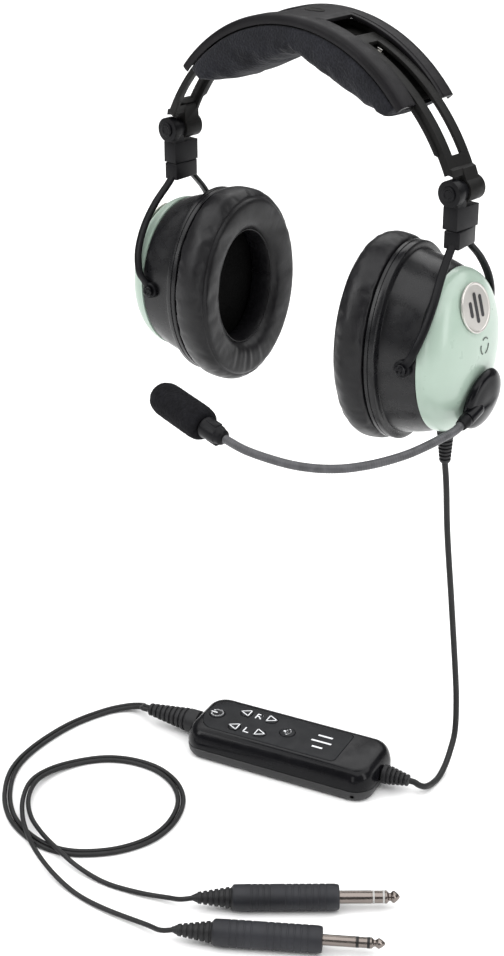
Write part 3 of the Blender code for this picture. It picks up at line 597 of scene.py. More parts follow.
def cover_part():
    """Outer skin as a grid over (angle, profile), open where the two slots are."""
    half = cover_profile() + [(BAND_R, 15.5), (BAND_R, 11.9), (92.6, 11.5), (92.6, SLOT_HALF)]
    columns = [(r, -y) for r, y in half] + [(92.6, -5.0), (92.6, 0.0), (92.6, 5.0)] + [
        (r, y) for r, y in reversed(half)
    ]
    angles = [-50.4 + 100.8 * i / 112 for i in range(113)]
    for edge in (-SLOT_START, SLOT_START):
        k = min(range(len(angles)), key=lambda i: abs(angles[i] - edge))
        angles[k] = edge
    verts, faces = [], []
    m = len(columns)
    for a in angles:
        fade = min(1.0, max(0.0, (abs(a) - 7.6) / 0.9))
        for r, y in columns:
            if abs(y) < 11.6:
                r = BAND_R - 0.4 * fade
            t = radians(a)
            verts.append(Vector((r * sin(t), y, BAND_Z + r * cos(t))))
    for i in range(len(angles) - 1):
        middle = (angles[i] + angles[i + 1]) / 2
        for j in range(m - 1):
            y = (columns[j][1] + columns[j + 1][1]) / 2
            if abs(middle) > SLOT_START and abs(y) < SLOT_HALF:
                continue
            faces.append((i * m + j, i * m + j + 1, (i + 1) * m + j + 1, (i + 1) * m + j))
    return verts, faces


cover = link("band_cover", to_mesh("band_cover", [cover_part()]))
bm = bmesh.new()
bm.from_mesh(cover.data)
out = sum((f.normal.dot(f.calc_center_median() - to_frame((0, 0, BAND_Z))) for f in bm.faces))
if out < 0:
    bmesh.ops.reverse_faces(bm, faces=bm.faces)
bmesh.ops.delete(bm, geom=[v for v in bm.verts if not v.link_faces], context="VERTS")
bm.to_mesh(cover.data)
bm.free()
mod = cover.modifiers.new("wall", "SOLIDIFY")
mod.thickness, mod.offset, mod.use_even_offset = 1.9 * MM, -1.0, True
bake(cover)
round_edges(cover, 0.45, 3, 50)
dress(cover, "headband", COVER, "headband_cover", angle=40)

cap = lathe(
    (0, 0, BAND_Z + 92.2), (0, 0, 1),
    [(0, 5.8), (0.9, 5.8), (1.15, 5.4), (1.15, 4.4), (0.85, 3.9), (0.85, 0)], 48
)
piece(
    "crown_button", moved(cap, lambda v: (v.x, v.y * 0.62, v.z)), "headband", LINER,
    replaces="crown_insert", angle=30
)


def liner_section(_):
    w = 18.4
    return [
        (82.7, -w), (87.4, -w), (87.4, -w + 1.8), (84.9, -w + 1.8), (84.9, w - 1.8), (87.4, w - 1.8),
        (87.4, w), (82.7, w)
    ]


piece(
    "band_liner", arc_sweep((0.0, BAND_Z), liner_section, -47.5, 47.5, 90), "headband", LINER,
    replaces="headband_liner", bevel=0.3, segments=2
)

# low ribs moulded on the liner, seen through the slots
ribs = []
for s in (-1, 1):
    for k in range(9):
        a = radians(s * (11.5 + 2.1 * k))
        c = Vector((85.1 * sin(a), 0, BAND_Z + 85.1 * cos(a)))
        d = Vector((cos(a), 0, -sin(a)))
        n = Vector((sin(a), 0, cos(a)))
        ribs.append(block_at(c, d, n, (-0.45, 0.45), (-8.5, 8.5), (-0.4, 0.0)))
piece("liner_ribs", ribs, "headband", LINER, bevel=0.15, segments=2)

PAD_INNER = [
    (0, 73.4), (3.5, 72.2), (10, 69.6), (16, 68.2), (26, 67.8), (37, 70.2), (44, 74.6), (49.5, 79.0)
]


def pad_body():
    """The pad: a U-shaped sleeve round the liner, deep and rounded below, with a notch at the crown."""
    rings, steps, n = [], 104, 26
    for k in range(steps + 1):
        a = -49.0 + 98.0 * k / steps
        inner = table_at(abs(a), PAD_INNER)
        end = min(1.0, (49.0 - abs(a)) / 2.6)
        squeeze = sqrt(max(0.0, 1 - (1 - end) ** 2)) if end < 1 else 1.0
        half = BAND_HALF - 1.0 * (1 - squeeze)
        depth = (82.0 - inner) * (0.55 + 0.45 * squeeze)
        ring = [(87.5, -half + 0.7), (86.6, -half + 0.15), (84.5, -half)]
        for i in range(n + 1):
            s = pi * (i / n - 0.5)
            y = half * copysign(abs(sin(s)) ** 0.82, sin(s))
            r = 82.0 - depth * abs(cos(s)) ** 0.5
            ring.append((r, y))
        ring += [
            (84.5, half), (86.6, half - 0.15), (87.5, half - 0.7), (87.5, 18.75), (82.35, 18.75),
            (82.35, -18.75), (87.5, -18.75)
        ]
        t = radians(a)
        rings.append([Vector((r * sin(t), y, BAND_Z + r * cos(t))) for r, y in ring])
    return rings_part(rings)


def inflate(obj, pinned, pressure=3.0, frames=14, cap=1.2, shrink=0.0, stiff=12.0):
    """Blows the skin up between its pinned rows with a short cloth run, and caps each point's travel."""
    group = obj.vertex_groups.new(name="pin")
    for v in obj.data.vertices:
        w = pinned(v.co / MM - Vector((0, 0, DROP)), v.index)
        if w > 0:
            group.add([v.index], w, "REPLACE")
    rest = [v.co.copy() for v in obj.data.vertices]
    mod = obj.modifiers.new("cloth", "CLOTH")
    c = mod.settings
    c.quality = 6
    c.mass = 0.3
    c.tension_stiffness = c.compression_stiffness = stiff
    c.shear_stiffness = 5
    c.bending_stiffness = 0.5
    c.use_pressure = True
    c.uniform_pressure_force = pressure
    c.shrink_min = shrink
    c.vertex_group_mass = "pin"
    c.effector_weights.gravity = 0
    mod.collision_settings.use_collision = False
    mod.point_cache.frame_start, mod.point_cache.frame_end = 1, frames
    scene = bpy.context.scene
    for f in range(1, frames + 1):
        scene.frame_set(f)
    depsgraph = bpy.context.evaluated_depsgraph_get()
    ev = obj.evaluated_get(depsgraph).to_mesh()
    got = [v.co.copy() for v in ev.vertices]
    obj.evaluated_get(depsgraph).to_mesh_clear()
    obj.modifiers.remove(mod)
    scene.frame_set(1)
    for v, a, b in zip(obj.data.vertices, rest, got):
        d = b - a
        if not all(map(isfinite, d)):
            continue
        if d.length > cap * MM:
            d *= cap * MM / d.length
        v.co = a + d
    obj.vertex_groups.clear()


pad = link("head_cushion", to_mesh("head_cushion", [pad_body()]))


def pad_pins(p, _):
    r = hypot(p.x, p.z - BAND_Z)
    return 1.0 if r > 81.8 or abs(p.x) < 1.2 else 0.0


inflate(pad, pad_pins, pressure=2.0, cap=1.4, shrink=-0.01)
bm = bmesh.new()
bm.from_mesh(pad.data)
for v in bm.verts:
    p = v.co / MM - Vector((0, 0, DROP))
    r = hypot(p.x, p.z - BAND_Z)
    if r < 82.1:
        a = degrees(atan2(p.x, p.z - BAND_Z))
        d = Vector((sin(radians(a)), 0, cos(radians(a))))
        tuck = 1.5 * exp(-((a / 1.3) ** 2))
        soft = 0.35 * noise.noise(Vector((a * 0.11, p.y * 0.09, 3.1)))
        v.co += d * (tuck + soft) * MM
bm.to_mesh(pad.data)
bm.free()
refine(pad)
dress(pad, "headband", KNIT, "head_pad", angle=55)

# ---------------------------------------------------------------- one side: slider, hinge, yoke, cup


def dome_height(f):
    return DOME_BASE + DOME_HEIGHT * max(0.0, 1.0 - f**DOME_POWER) ** (1.0 / DOME_POWER)


def dome_point(v, z):
    a, b = DOME_HALF

    def height(y, h):
        return dome_height(hypot(y / a, h / b))

    e = 0.05
    dv = (height(v + e, z) - height(v - e, z)) / (2 * e)
    dz = (height(v, z + e) - height(v, z - e)) / (2 * e)
    return Vector((height(v, z), v, z)), Vector((1.0, -dv, -dz)).normalized()


def oval(u, half):
    return [(u, half[0] * c, half[1] * s) for c, s in circle(128)]


def slider_section(angle):
    w, r = 9.2, SLIDER_R
    lip = w + 2.0 if angle < 59.0 else w + 0.05
    return [
        (r, -w), (r, w), (r - 2.9, w), (r - 2.9, lip + 0.01), (r - 4.1, lip + 0.01), (r - 4.1, w - 1.8),
        (r - 1.8, w - 1.8), (r - 1.8, -w + 1.8), (r - 4.1, -w + 1.8), (r - 4.1, -lip - 0.01),
        (r - 2.9, -lip - 0.01), (r - 2.9, -w)
    ]


# the cushion's section: u, and the share of the way from the opening to the outer edge
SEAL_ROWS = [
    (64.4, 0.90), (63.6, 0.955), (62.0, 0.985), (59.0, 1.0), (56.0, 1.005), (53.0, 1.005), (50.6, 0.995),
    (48.6, 0.968), (47.1, 0.920), (46.3, 0.868), (46.15, 0.848), (45.9, 0.825), (45.45, 0.77), (45.1, 0.68),
    (44.9, 0.58), (44.8, 0.47), (44.85, 0.36), (45.2, 0.25), (46.0, 0.15), (47.4, 0.075), (49.6, 0.028),
    (52.5, 0.005), (55.5, 0.0), (59.0, 0.015), (62.0, 0.04), (64.4, 0.07)
]
SEAM_ROW = 10
# where the cushion meets the cup; the left cushion is pressed a little shallower from there
SEAL_BACK = 64.4


def seal_oval(w, c, s):
    """Rearward and upward places of the cushion's oval, w being the share of the way out."""
    return (22.6 + 19.3 * w) * c, (30.8 + 21.8 * w) * s


def build_side(side, hand):
    arm, knuckle, fork, cup = (f"{hand}_{w}" for w in ("arm", "knuckle", "fork", "cup"))

    def place(p):
        """Cup coordinates (outward, rearward, up) to the layout."""
        if side > 0:
            return toed(p)
        c, n = cos(RIGHT_TURN), sin(RIGHT_TURN)
        x = HINGE_X - p[0]
        return Vector((x * c - p[1] * n - HINGE_X, x * n + p[1] * c, p[2]))

    def local(part):
        return moved(part, place)

    hinge = Vector((side * HINGE_X, 0, HINGE_Z))

    def hinge_rod(y0, y1, radius, segments):
        return rod(hinge + Vector((0, y0, 0)), hinge + Vector((0, y1, 0)), radius, segments)

    def swivel_rod(x, z0, z1, radius):
        return rod((x, 0, SWIVEL_Z + z0), (x, 0, SWIVEL_Z + z1), radius, 32)

    # slider
    def bent(section, a0, a1, steps):
        return arc_sweep((-SLIDER_X, SLIDER_Z), section, a0, a1, steps, side)

    def slab(r0, r1, y0, y1, a0, a1, steps):
        return bent(lambda _: [(r0, y0), (r1, y0), (r1, y1), (r0, y1)], a0, a1, steps)

    def hinge_plate(plan, y0, y1):
        """A plate between two depths, its plan measured from the hinge."""
        return rings_part([[(side * (HINGE_X + x), y, HINGE_Z + z) for x, z in plan] for y in (y0, y1)])

    web = [(-4.6, 12.6), (0.9, 10.6), (4.5, 2.5), (-5.2, 1.5)]
    bar = [(-5.0, 12.9), (0.6, 10.9), (1.3, 7.8), (-4.4, 8.6)]
    piece(
        hand + "_rail", bent(slider_section, 17.5, 65.2, 60), arm, SLIDER, replaces=hand + "_slider",
        steps=[
            add(hinge_plate(web, -1.3, 8.9)), add(hinge_plate(bar, -8.9, -0.6)),
            add(hinge_rod(-1.2, 10.4, 6.2, 48)),
            cut(slab(SLIDER_R - 9, SLIDER_R + 5, -3.7, 3.7, 21.6, 60.5, 60)),
            cut(hinge_rod(-4, 14, 2.0, 32))
        ],
        bevel=0.35, segments=2
    )
    # spring clip in the channel, just inside the slot
    a = radians(23.6)
    c = Vector((-SLIDER_X + (SLIDER_R - 3.2) * sin(a), 0, SLIDER_Z + (SLIDER_R - 3.2) * cos(a)))
    d, n = Vector((cos(a), 0, -sin(a))), Vector((sin(a), 0, cos(a)))
    clip = []
    for x, y, h in (
        ((-3.0, 3.0), (-2.9, 2.9), (-0.4, 0.1)), ((-1.2, 1.8), (-2.9, -1.7), (0.0, 1.5)),
        ((-1.2, 1.8), (1.7, 2.9), (0.0, 1.5))
    ):
        clip.append(moved(block_at(c, d, n, x, y, h), lambda v: (side * v.x, v.y, v.z)))
    piece(hand + "_spring_clip", clip, arm, CLIP, bevel=0.15, segments=2)

    # hinge block
    bx, by = 4.2, 8.6
    block = box((side * HINGE_X - bx, -by, SWIVEL_Z), (side * HINGE_X + bx, by, HINGE_Z - 7.2))
    piece(
        hand + "_hinge_body", block, knuckle, SATIN, replaces=hand + "_hinge_block",
        steps=[
            add(box(
                (side * HINGE_X - bx + 0.1, -by + 0.1, HINGE_Z - 9.0),
                (side * HINGE_X + bx - 0.1, -1.6, HINGE_Z - 1.0)
            )),
            add(hinge_rod(-10.4, -5.9, 6.5, 48)), add(hinge_rod(-6.2, -1.55, 5.1, 40)),
            cut(hinge_rod(-14, 2, 2.0, 32)), cut(swivel_rod(side * HINGE_X, -3, 6.4, 2.6))
        ],
        bevel=0.45
    )
    piece(
        hand + "_hinge_axle",
        lathe(
            hinge + Vector((0, -11.5, 0)), (0, 1, 0),
            [
                (0.35, 0), (0.35, 1.9), (0, 2.3), (0, 3.1), (0.12, 3.5), (0.4, 3.7), (0.8, 3.7), (0.8, 1.7),
                (22.2, 1.7), (22.2, 3.7), (22.6, 3.7), (22.9, 3.4), (23.0, 2.6), (22.7, 2.0), (22.7, 0)
            ],
            48
        ),
        knuckle, SATIN, replaces=hand + "_hinge_pin", angle=30
    )

    # yoke
    arms = []
    for front in (-1, 1):
        route = [
            (93.0, front * 6.0, 56.5), (93.2, front * 10.5, 51.8), (94.5, front * 20.5, 42.5),
            (95.3, front * 28.8, 31.5), (94.2, front * 35.2, 20.0), (91.0, front * 38.6, 9.8),
            (88.2, front * 37.8, 4.8), (85.2, front * 37.2, 0.9)
        ]
        arms.append(strip_sweep(smooth_path(route, 60), (1, 0, 0), 2.1, 1.25, 24, 3.0))
        arms.append(lathe(
            (TILT_X, front * 35.9, 0), (0, front, 0),
            [(0, 3.8), (0.3, 4.3), (2.1, 4.4), (2.5, 4.0), (2.5, 3.0), (2.2, 2.9), (2.2, 0)], 40
        ))
    block = box((HINGE_X - bx, -by, YOKE_BOTTOM), (HINGE_X + bx, by, SWIVEL_Z - 0.4))
    piece(
        hand + "_yoke_head", local(block), fork, SATIN,
        steps=[add(local(swivel_rod(HINGE_X, -2, 6.0, 2.2)))], bevel=0.6, replaces=hand + "_yoke"
    )
    piece(hand + "_yoke_arms", [local(p) for p in arms], fork, SATIN, replaces=hand + "_yoke", angle=40)
    for front, word in ((-1, "front"), (1, "rear")):
        head = lathe(
            (TILT_X, front * 40.4, 0), (0, -front, 0),
            [
                (0.7, 0), (0.7, 0.9), (0.25, 1.35), (0.0, 1.7), (0.0, 2.2), (0.25, 2.7), (0.6, 2.9),
                (1.3, 2.9), (1.3, 1.45), (9.6, 1.45), (9.6, 0)
            ],
            32
        )
        piece(
            f"{hand}_screw_{word}", local(head), fork, GLOSS, replaces=f"{hand}_pivot_screw_{word}",
            angle=28
        )

    # shell: flange, gap line, stepped side wall
    profile = [
        (64.7, (39.6, 50.1)), (64.9, (40.3, 50.8)), (65.3, (40.6, 51.1)), (66.9, (40.6, 51.1)),
        (67.1, (40.2, 50.7)), (67.5, (40.2, 50.7)), (67.7, (40.6, 51.1)), (69.9, (40.6, 51.1)),
        (70.3, (40.4, 50.9)), (70.6, (39.9, 50.4)), (70.8, (38.6, 49.2)), (70.9, (37.3, 48.0)),
        (71.2, (36.8, 47.5)), (73.0, (36.5, 47.0)), (76.0, (36.4, 46.3)), (80.0, (36.3, 45.3)),
        (83.0, (36.2, 44.5)), (86.0, (36.1, 43.5)), (88.6, (36.0, 42.4)), (90.5, (36.0, 41.6)),
        (91.0, (35.6, 41.2)), (91.1, (33.0, 38.5)), (86.0, (33.0, 39.5)), (73.0, (33.5, 44.0)),
        (68.4, (33.6, 44.6)), (68.4, (29.5, 38.5)), (64.7, (29.5, 38.5))
    ]
    bosses = []
    for front in (-1, 1):
        bosses.append(local(lathe(
            (TILT_X, front * 29.0, 0), (0, front, 0),
            [(0, 5.6), (5.4, 5.6), (5.9, 5.2), (6.4, 4.9), (6.5, 4.5), (6.5, 0)], 40
        )))
    steps = []
    if side > 0:
        steps = [cut(local(rod(boot_start - boot_way * 8, boot_start + boot_way * 12, 3.7, 32)))]
    piece(
        hand + "_cup_shell", local(rings_part([oval(u, h) for u, h in profile], loop=True)), cup, SHELL,
        replaces=hand + "_ear_shell", steps=steps, angle=28
    )
    piece(hand + "_pivot_bosses", bosses, cup, SHELL, angle=30)

    # cushion
    depth = 0.93 if side > 0 else 1.0

    def seal_u(u):
        return SEAL_BACK - (SEAL_BACK - u) * depth

    rings = []
    around = 168
    for i in range(around):
        t = tau * i / around
        c, s = cos(t), sin(t)
        low = exp(-((degrees(t) - 270) / 34) ** 2)
        ring = []
        for k, (u, w) in enumerate(SEAL_ROWS):
            groove = 0.55 if k == SEAM_ROW else 0.0
            if w < 0.8:
                face = sin(pi * min(1.0, (0.8 - w) / 0.8))
                fold = low * face * (
                    0.2 * sin(t * 46 + 2.2 * w) + 0.24 * sin(t * 27 + 1.3 - w)
                    + 0.5 * noise.noise(Vector((t * 9, w * 2, side)))
                )
                fold += 0.25 * (1 - low) * face * noise.noise(Vector((c * 4, s * 4, w * 3 + side)))
            else:
                fold = 0.22 * noise.noise(Vector((c * 5, s * 5, u * 0.2 + side)))
            uu = seal_u(u) + groove * 0.8 - fold * (1 if w > 0.1 else 0.3)
            ww = w - groove * 0.012 - (fold * 0.02 if w <= 0.1 else 0)
            ring.append(place((uu, *seal_oval(ww, c, s))))
        rings.append(ring)
    seal = link(hand + "_ear_cushion", to_mesh(hand + "_ear_cushion", [rings_part(rings, loop=True)]))
    rows = len(SEAL_ROWS)

    def seal_pins(_, index):
        k = index % rows
        return 1.0 if k in (0, SEAM_ROW - 1, SEAM_ROW, SEAM_ROW + 1, rows - 1, rows - 6) else 0.0

    inflate(seal, seal_pins, pressure=3.5, cap=0.7, shrink=-0.015)
    refine(seal)
    dress(seal, cup, HIDE, hand + "_ear_seal", angle=60)

    # stitches along the outer seam and a welt round the opening
    stitches, count = [], 132
    for i in range(count):
        pts = []
        for e in (-0.27, 0.27):
            t = tau * (i + e) / count
            pts.append(place((seal_u(45.7) - 0.05, *seal_oval(0.805, cos(t), sin(t)))))
        stitches.append(tube([pts[0], pts[0].lerp(pts[1], 0.5), pts[1]], 0.17, 6))
    piece(hand + "_stitching", stitches, cup, THREAD, angle=60)
    welt = []
    for i in range(97):
        t = tau * i / 96
        y, z = seal_oval(0.045, cos(t), sin(t))
        welt.append(place((seal_u(49.3), y * 0.985, z * 0.985)))
    piece(hand + "_inner_welt", tube(welt, 0.42, 8), cup, HIDE, angle=60)
    joint_line = [
        place((u, v, 0.8))
        for u, v in ((50.0, 23.0), (53.0, 22.5), (57.0, 22.3), (61.0, 22.7), (63.5, 23.2))
    ]
    piece(
        hand + "_sewn_join",
        [tube([p + Vector((0, 0, h)) for p in smooth_path(joint_line, 12)], 0.3, 8) for h in (-0.6, 0.6)],
        cup, HIDE, angle=60
    )
    scrim = []
    for f in (1.0, 0.9, 0.75, 0.55, 0.35, 0.15):
        scrim.append([place((65.4 - 1.2 * (1 - f * f), 27.5 * f * c, 36.5 * f * s)) for c, s in circle(64)])
    scrim = rings_part(scrim, caps=False)
    scrim[1].append(tuple(range(64 * 5, 64 * 6)))
    piece(hand + "_speaker_cloth", scrim, cup, SCRIM, angle=60)

    # dome, with a hollow for the badge
    a, b = DOME_HALF
    inset = 0.25
    rings = [
        [(DOME_BASE - 0.3 + 0.3 * (1 - inset), (a - inset) * c, (b - inset) * s) for c, s in circle(120)]
    ]
    for k in range(26):
        q = k / 26
        f, h = cos(q * pi / 2) ** (2 / DOME_POWER), sin(q * pi / 2) ** (2 / DOME_POWER)
        rings.append([(DOME_BASE + DOME_HEIGHT * h, a * f * c, b * f * s) for c, s in circle(120)])
    rings.append([(DOME_BASE + DOME_HEIGHT, 0, 0)])
    spot, normal = dome_point(*BADGE_AT)
    dome_steps = [cut(local(rod(spot - normal * 0.9, spot + normal * 6.0, BADGE_R + 0.5, 72)))]
    boom_spot, boom_axis = dome_point(*BOOM_AT)
    if side > 0:
        dome_steps.append(cut(local(rod(boom_spot - boom_axis * 8, boom_spot + boom_axis * 4, 3.6, 40))))
    piece(
        hand + "_mint_dome", local(rings_part(rings)), cup, MINT, replaces=hand + "_dome", steps=dome_steps,
        angle=25
    )
    piece(
        hand + "_badge_disc",
        local(lathe(
            spot - normal * 0.6, normal,
            [
                (0, BADGE_R - 0.3), (0.3, BADGE_R), (1.0, BADGE_R), (1.3, BADGE_R - 0.25),
                (1.35, BADGE_R - 0.7), (1.2, BADGE_R - 1.1), (1.0, BADGE_R - 1.3), (1.02, BADGE_R * 0.5),
                (1.05, 0)
            ],
            96
        )),
        cup, FOIL, replaces=hand + "_badge", angle=30
    )
    # a plain sound-level mark on the badge, three rounded bars
    up = (Vector((0, 0, 1)) - normal * normal.z).normalized()
    across = up.cross(normal)
    bars = []
    for x, h in ((-4.6, 4.0), (0.0, 7.6), (4.6, 5.6)):
        base = spot + normal * 0.38 + across * x
        outline = []
        for k in range(24):
            t = tau * k / 24
            outline.append(
                base + across * 1.2 * cos(t + 0.01)
                + up * (1.2 * sin(t + 0.01) + copysign(h - 1.2, sin(t + 0.01)))
            )
        bars.append(local(rings_part([outline, [p + normal * 0.22 for p in outline]])))
    piece(hand + "_badge_mark", bars, cup, INK, angle=40)
    # ring of short arcs below the badge
    arcs = []
    ring_spot, ring_normal = dome_point(2.3, 4.5)
    rx, ry, _ = axes_of(ring_normal)
    for k in range(3):
        pts = []
        for i in range(9):
            t = tau * (k / 3 + 0.22 * (i / 8 - 0.5)) + 0.4
            q = ring_spot + (rx * cos(t) + ry * sin(t)) * 4.1
            on, nn = dome_point(q.y, q.z)
            pts.append(on + nn * 0.02)
        arcs.append(local(tube(pts, 0.42, 8)))
    piece(hand + "_pad_arcs", arcs, cup, material(hand + "_arc_grey", (0.10, 0.12, 0.105), 0.5), angle=50)

    for node, look in (
        (hand + "_baffle", SHELL), (hand + "_speaker", SHELL), (hand + "_circuit_board", BOARD)
    ):
        repaint(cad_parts[node], look)


build_side(-1, "right")
build_side(1, "left")

# ---------------------------------------------------------------- boom

boom_spot, boom_axis = dome_point(*BOOM_AT)
barrel_way = Vector((-0.032, -0.977, -0.212))
barrel_way = (barrel_way - boom_axis * barrel_way.dot(boom_axis)).normalized()
cross_way = boom_axis.cross(barrel_way)
MIC_END = Vector((17.5, -89.8, -33.6))
root = boom_spot + boom_axis * 4.6 + barrel_way * 14.0
boom_route = [
    root + barrel_way * 6.8, root + barrel_way * 10.0, (109.3, -28.0, -30.0), (107.2, -35.0, -31.1),
    (103.6, -43.5, -33.0), (98.6, -52.5, -35.2), (92.6, -61.5, -36.8), (85.6, -70.4, -37.9),
    (76.2, -78.8, -38.8), (64.6, -85.3, -38.9), (51.0, -89.6, -38.0), (32.0, -92.0, -35.6), tuple(MIC_END)
]


def left(part):
    return moved(part, toed)


def lens_point(t, lift, radius):
    """The round cover, its lower half pressed flatter below a crease that runs along the barrel."""
    along, over = radius * cos(t), radius * sin(t)
    low = 1 / (1 + exp((over + 0.5) / 0.5)) if radius < 15.5 else 0.0
    fade = min(1.0, (15.5 - radius) / 3.0) * (1 / (1 + exp(-(along + 2.0) / 2.0)))
    lift -= 1.3 * low * max(0.0, fade)
    return boom_spot + boom_axis * lift + barrel_way * along + cross_way * over


rings = []
lens_profile = [
    (0.45, 14.6), (0.6, 15.3), (1.0, 15.9), (1.7, 16.2), (2.6, 16.1), (3.6, 15.7), (4.5, 15.0), (5.3, 14.1),
    (6.0, 13.0), (6.6, 11.8), (7.1, 10.4), (7.5, 9.0), (7.85, 7.4), (8.1, 5.8), (8.3, 4.1), (8.42, 2.4),
    (8.46, 1.0)
]
for lift, radius in lens_profile:
    rings.append([lens_point(tau * i / 96, lift, radius) for i in range(96)])
piece("boom_lens", [left(rings_part(rings))], "boom", GLOSS, replaces="boom_bracket", angle=60)
piece(
    "boom_stem",
    [
        left(rod(boom_spot - boom_axis * 3.8, boom_spot + boom_axis * 2.0, 3.2, 40)),
        left(lathe(
            root - barrel_way * 8.5, barrel_way,
            [
                (0, 0), (0.2, 1.6), (0.8, 2.8), (1.8, 3.4), (3.0, 3.6), (12.3, 3.6), (12.7, 3.5),
                (12.9, 3.1), (12.9, 0)
            ],
            48
        ))
    ],
    "boom", GLOSS, angle=35
)
piece(
    "boom_ferrule",
    left(lathe(
        root + barrel_way * 4.8, barrel_way,
        [
            (0, 3.2), (0.2, 3.4), (0.6, 3.5), (2.4, 3.5), (3.0, 3.35), (3.6, 3.15), (5.7, 2.9), (6.0, 2.7),
            (6.0, 2.4), (1.6, 2.4), (1.6, 1.0), (0, 1.0)
        ],
        48, loop=True
    )),
    "boom", SATIN, replaces="boom_collar", angle=30
)
boom_path = smooth_path(boom_route, 760)
piece(
    "boom_sleeve",
    left(tube(boom_path, lambda f, d: 2.2 - 0.12 * (0.5 + 0.5 * cos(tau * d / 1.25)) ** 2, 20)), "boom",
    BOOM, replaces="boom_tube", angle=80
)

mic_way = Vector((-0.93, 0.355, 0.08)).normalized()
clip_way = (Vector((5.0, -86.5, -31.8)) - MIC_END).normalized()
clip_side = clip_way.cross(Vector((0, 0, 1))).normalized()
clip_plan = [
    Vector((0, 0, z)) + clip_side * y for y, z in ((-2.2, -5.4), (2.2, -5.4), (2.2, 5.4), (-2.2, 5.4))
]
piece(
    "mic_clip",
    [
        left(lathe(
            MIC_END + clip_way * 0.4, clip_way,
            [
                (0, 2.0), (0.3, 2.9), (1.0, 3.9), (3.6, 4.3), (4.0, 4.7), (8.5, 5.1), (13.0, 5.6),
                (13.8, 5.5), (14.1, 5.0), (14.1, 0)
            ],
            40
        )),
        left(rings_part([[MIC_END + clip_way * x + p for p in clip_plan] for x in (4.5, 12.0)]))
    ],
    "mic", SATIN, replaces="mic_bracket", bevel=0.3, segments=2
)
muff_start = MIC_END + clip_way * 14.8
profile = [(0.3, 4.6), (0.3, 6.2), (0.7, 7.1), (1.6, 7.9), (3.0, 8.4), (6.0, 8.75)]
profile += [(8.0 + 1.6 * k, 8.78) for k in range(16)]
profile += [(34.0, 8.7), (36.4, 8.3), (38.6, 7.5), (40.4, 6.2), (41.7, 4.4), (42.3, 2.4), (42.5, 0)]
muff = link("mic_foam", to_mesh("mic_foam", [left(lathe(muff_start, mic_way, profile, 72))]))
bm = bmesh.new()
bm.from_mesh(muff.data)
for v in bm.verts:
    q = v.co / MM
    v.co += v.normal * MM * (0.16 * noise.noise(q * 0.9) + 0.12 * noise.noise(q * 2.1))
bm.to_mesh(muff.data)
bm.free()
dress(muff, "mic", FOAM, "mic_muff", angle=70)
repaint(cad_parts["mic_capsule"], SATIN)

# ---------------------------------------------------------------- cable exit

ribs = [(0, 1.9), (0, 2.5), (8.3, 2.5), (8.3, 4.4), (8.6, 4.8), (10.6, 4.75), (10.9, 4.5)]
for k in range(8):
    r = 4.35 - 0.19 * k
    x = 11.0 + 2.1 * k
    ribs += [
        (x + 0.1, r - 0.75), (x + 0.6, r - 0.78), (x + 0.75, r - 0.1), (x + 0.95, r + 0.05), (x + 1.7, r),
        (x + 1.95, r - 0.15)
    ]
ribs += [(28.3, 2.6), (28.6, 2.3), (28.6, 1.9)]
piece(
    "cup_strain_relief", left(lathe(boot_start, boot_way, ribs, 36, loop=True)), "cable_boot", BOOT,
    replaces="cup_cable_boot", angle=38
)

# ---------------------------------------------------------------- module


def outline(d, h):
    """The module's rounded plan at height h, drawn in by d."""
    hl, hw = MODULE_L / 2 - d, MODULE_W / 2 - d
    rc = max(11.0 - d * 0.8, 1.0)
    out = []
    for k, (sx, sy) in enumerate(((1, 1), (-1, 1), (-1, -1), (1, -1))):
        for i in range(13):
            a = pi / 2 * (k + i / 12)
            out.append(module(sx * (hl - rc) + rc * cos(a), sy * (hw - rc) + rc * sin(a), h))
    return out


def outlines(rows):
    return rings_part([outline(d, h) for d, h in rows])


def module_box(s0, s1, t0, t1, h0, h1):
    plan = ((s0, t0), (s1, t0), (s1, t1), (s0, t1))
    return rings_part([[module(s, t, h) for s, t in plan] for h in (h0, h1)])


def along(s0, s1, t, h, radius):
    return rod(module(s0, t, h), module(s1, t, h), radius, 36)


boot_holes = [cut(along(46, 64, BOOT_T, BOOT_H, 3.6)), cut(along(-46, -64, BOOT_T, BOOT_H, 3.6))]
piece(
    "module_tray",
    outlines([
        (3.0, 0.3), (2.2, 0.4), (1.3, 1.0), (0.5, 2.4), (0.1, 4.4), (0.0, 6.2), (0.3, 6.5), (2.0, 6.5),
        (2.6, 3.6)
    ]),
    "lead", BASE, replaces="module_bottom",
    steps=[
        cut(module_box(-0.3, 62, -15.3, 15.3, -2, 2.6)), cut(module_box(1.5, 49.5, -13.0, 13.0, -2, 5.0)),
        *boot_holes, cut(rod(module(47.0, -26.0, 3.6), module(47.0, -12.0, 3.6), 1.1, 24))
    ],
    angle=32
)
piece(
    "module_door", outlines([(3.0, 0.3), (2.2, 0.4), (1.3, 1.0), (0.9, 2.3)]), "door", BASE,
    replaces="battery_door",
    steps=[("INTERSECT", module_box(0.0, 70, -15.0, 15.0, -5, 8))] + [
        cut(module_box(5 + 2.4 * k, 6.2 + 2.4 * k, -6, 6, -1, 0.7)) for k in range(4)
    ],
    angle=32
)


def pad_plan(d, h):
    s0, s1, w = -50.6 + d, 33.0 - d, 14.2 - d
    r = 2.5
    out = []
    for k, (cs, ct) in enumerate(((s1 - r, -w + r), (s1 - r, w - r))):
        for i in range(7):
            a = -pi / 2 + pi / 2 * (k + i / 6)
            out.append(module(cs + r * cos(a), ct + r * sin(a), h))
    for i in range(41):
        a = pi / 2 + pi * i / 40
        out.append(module(s0 + w * 0.75 + w * 0.75 * cos(a), w * sin(a), h))
    return out


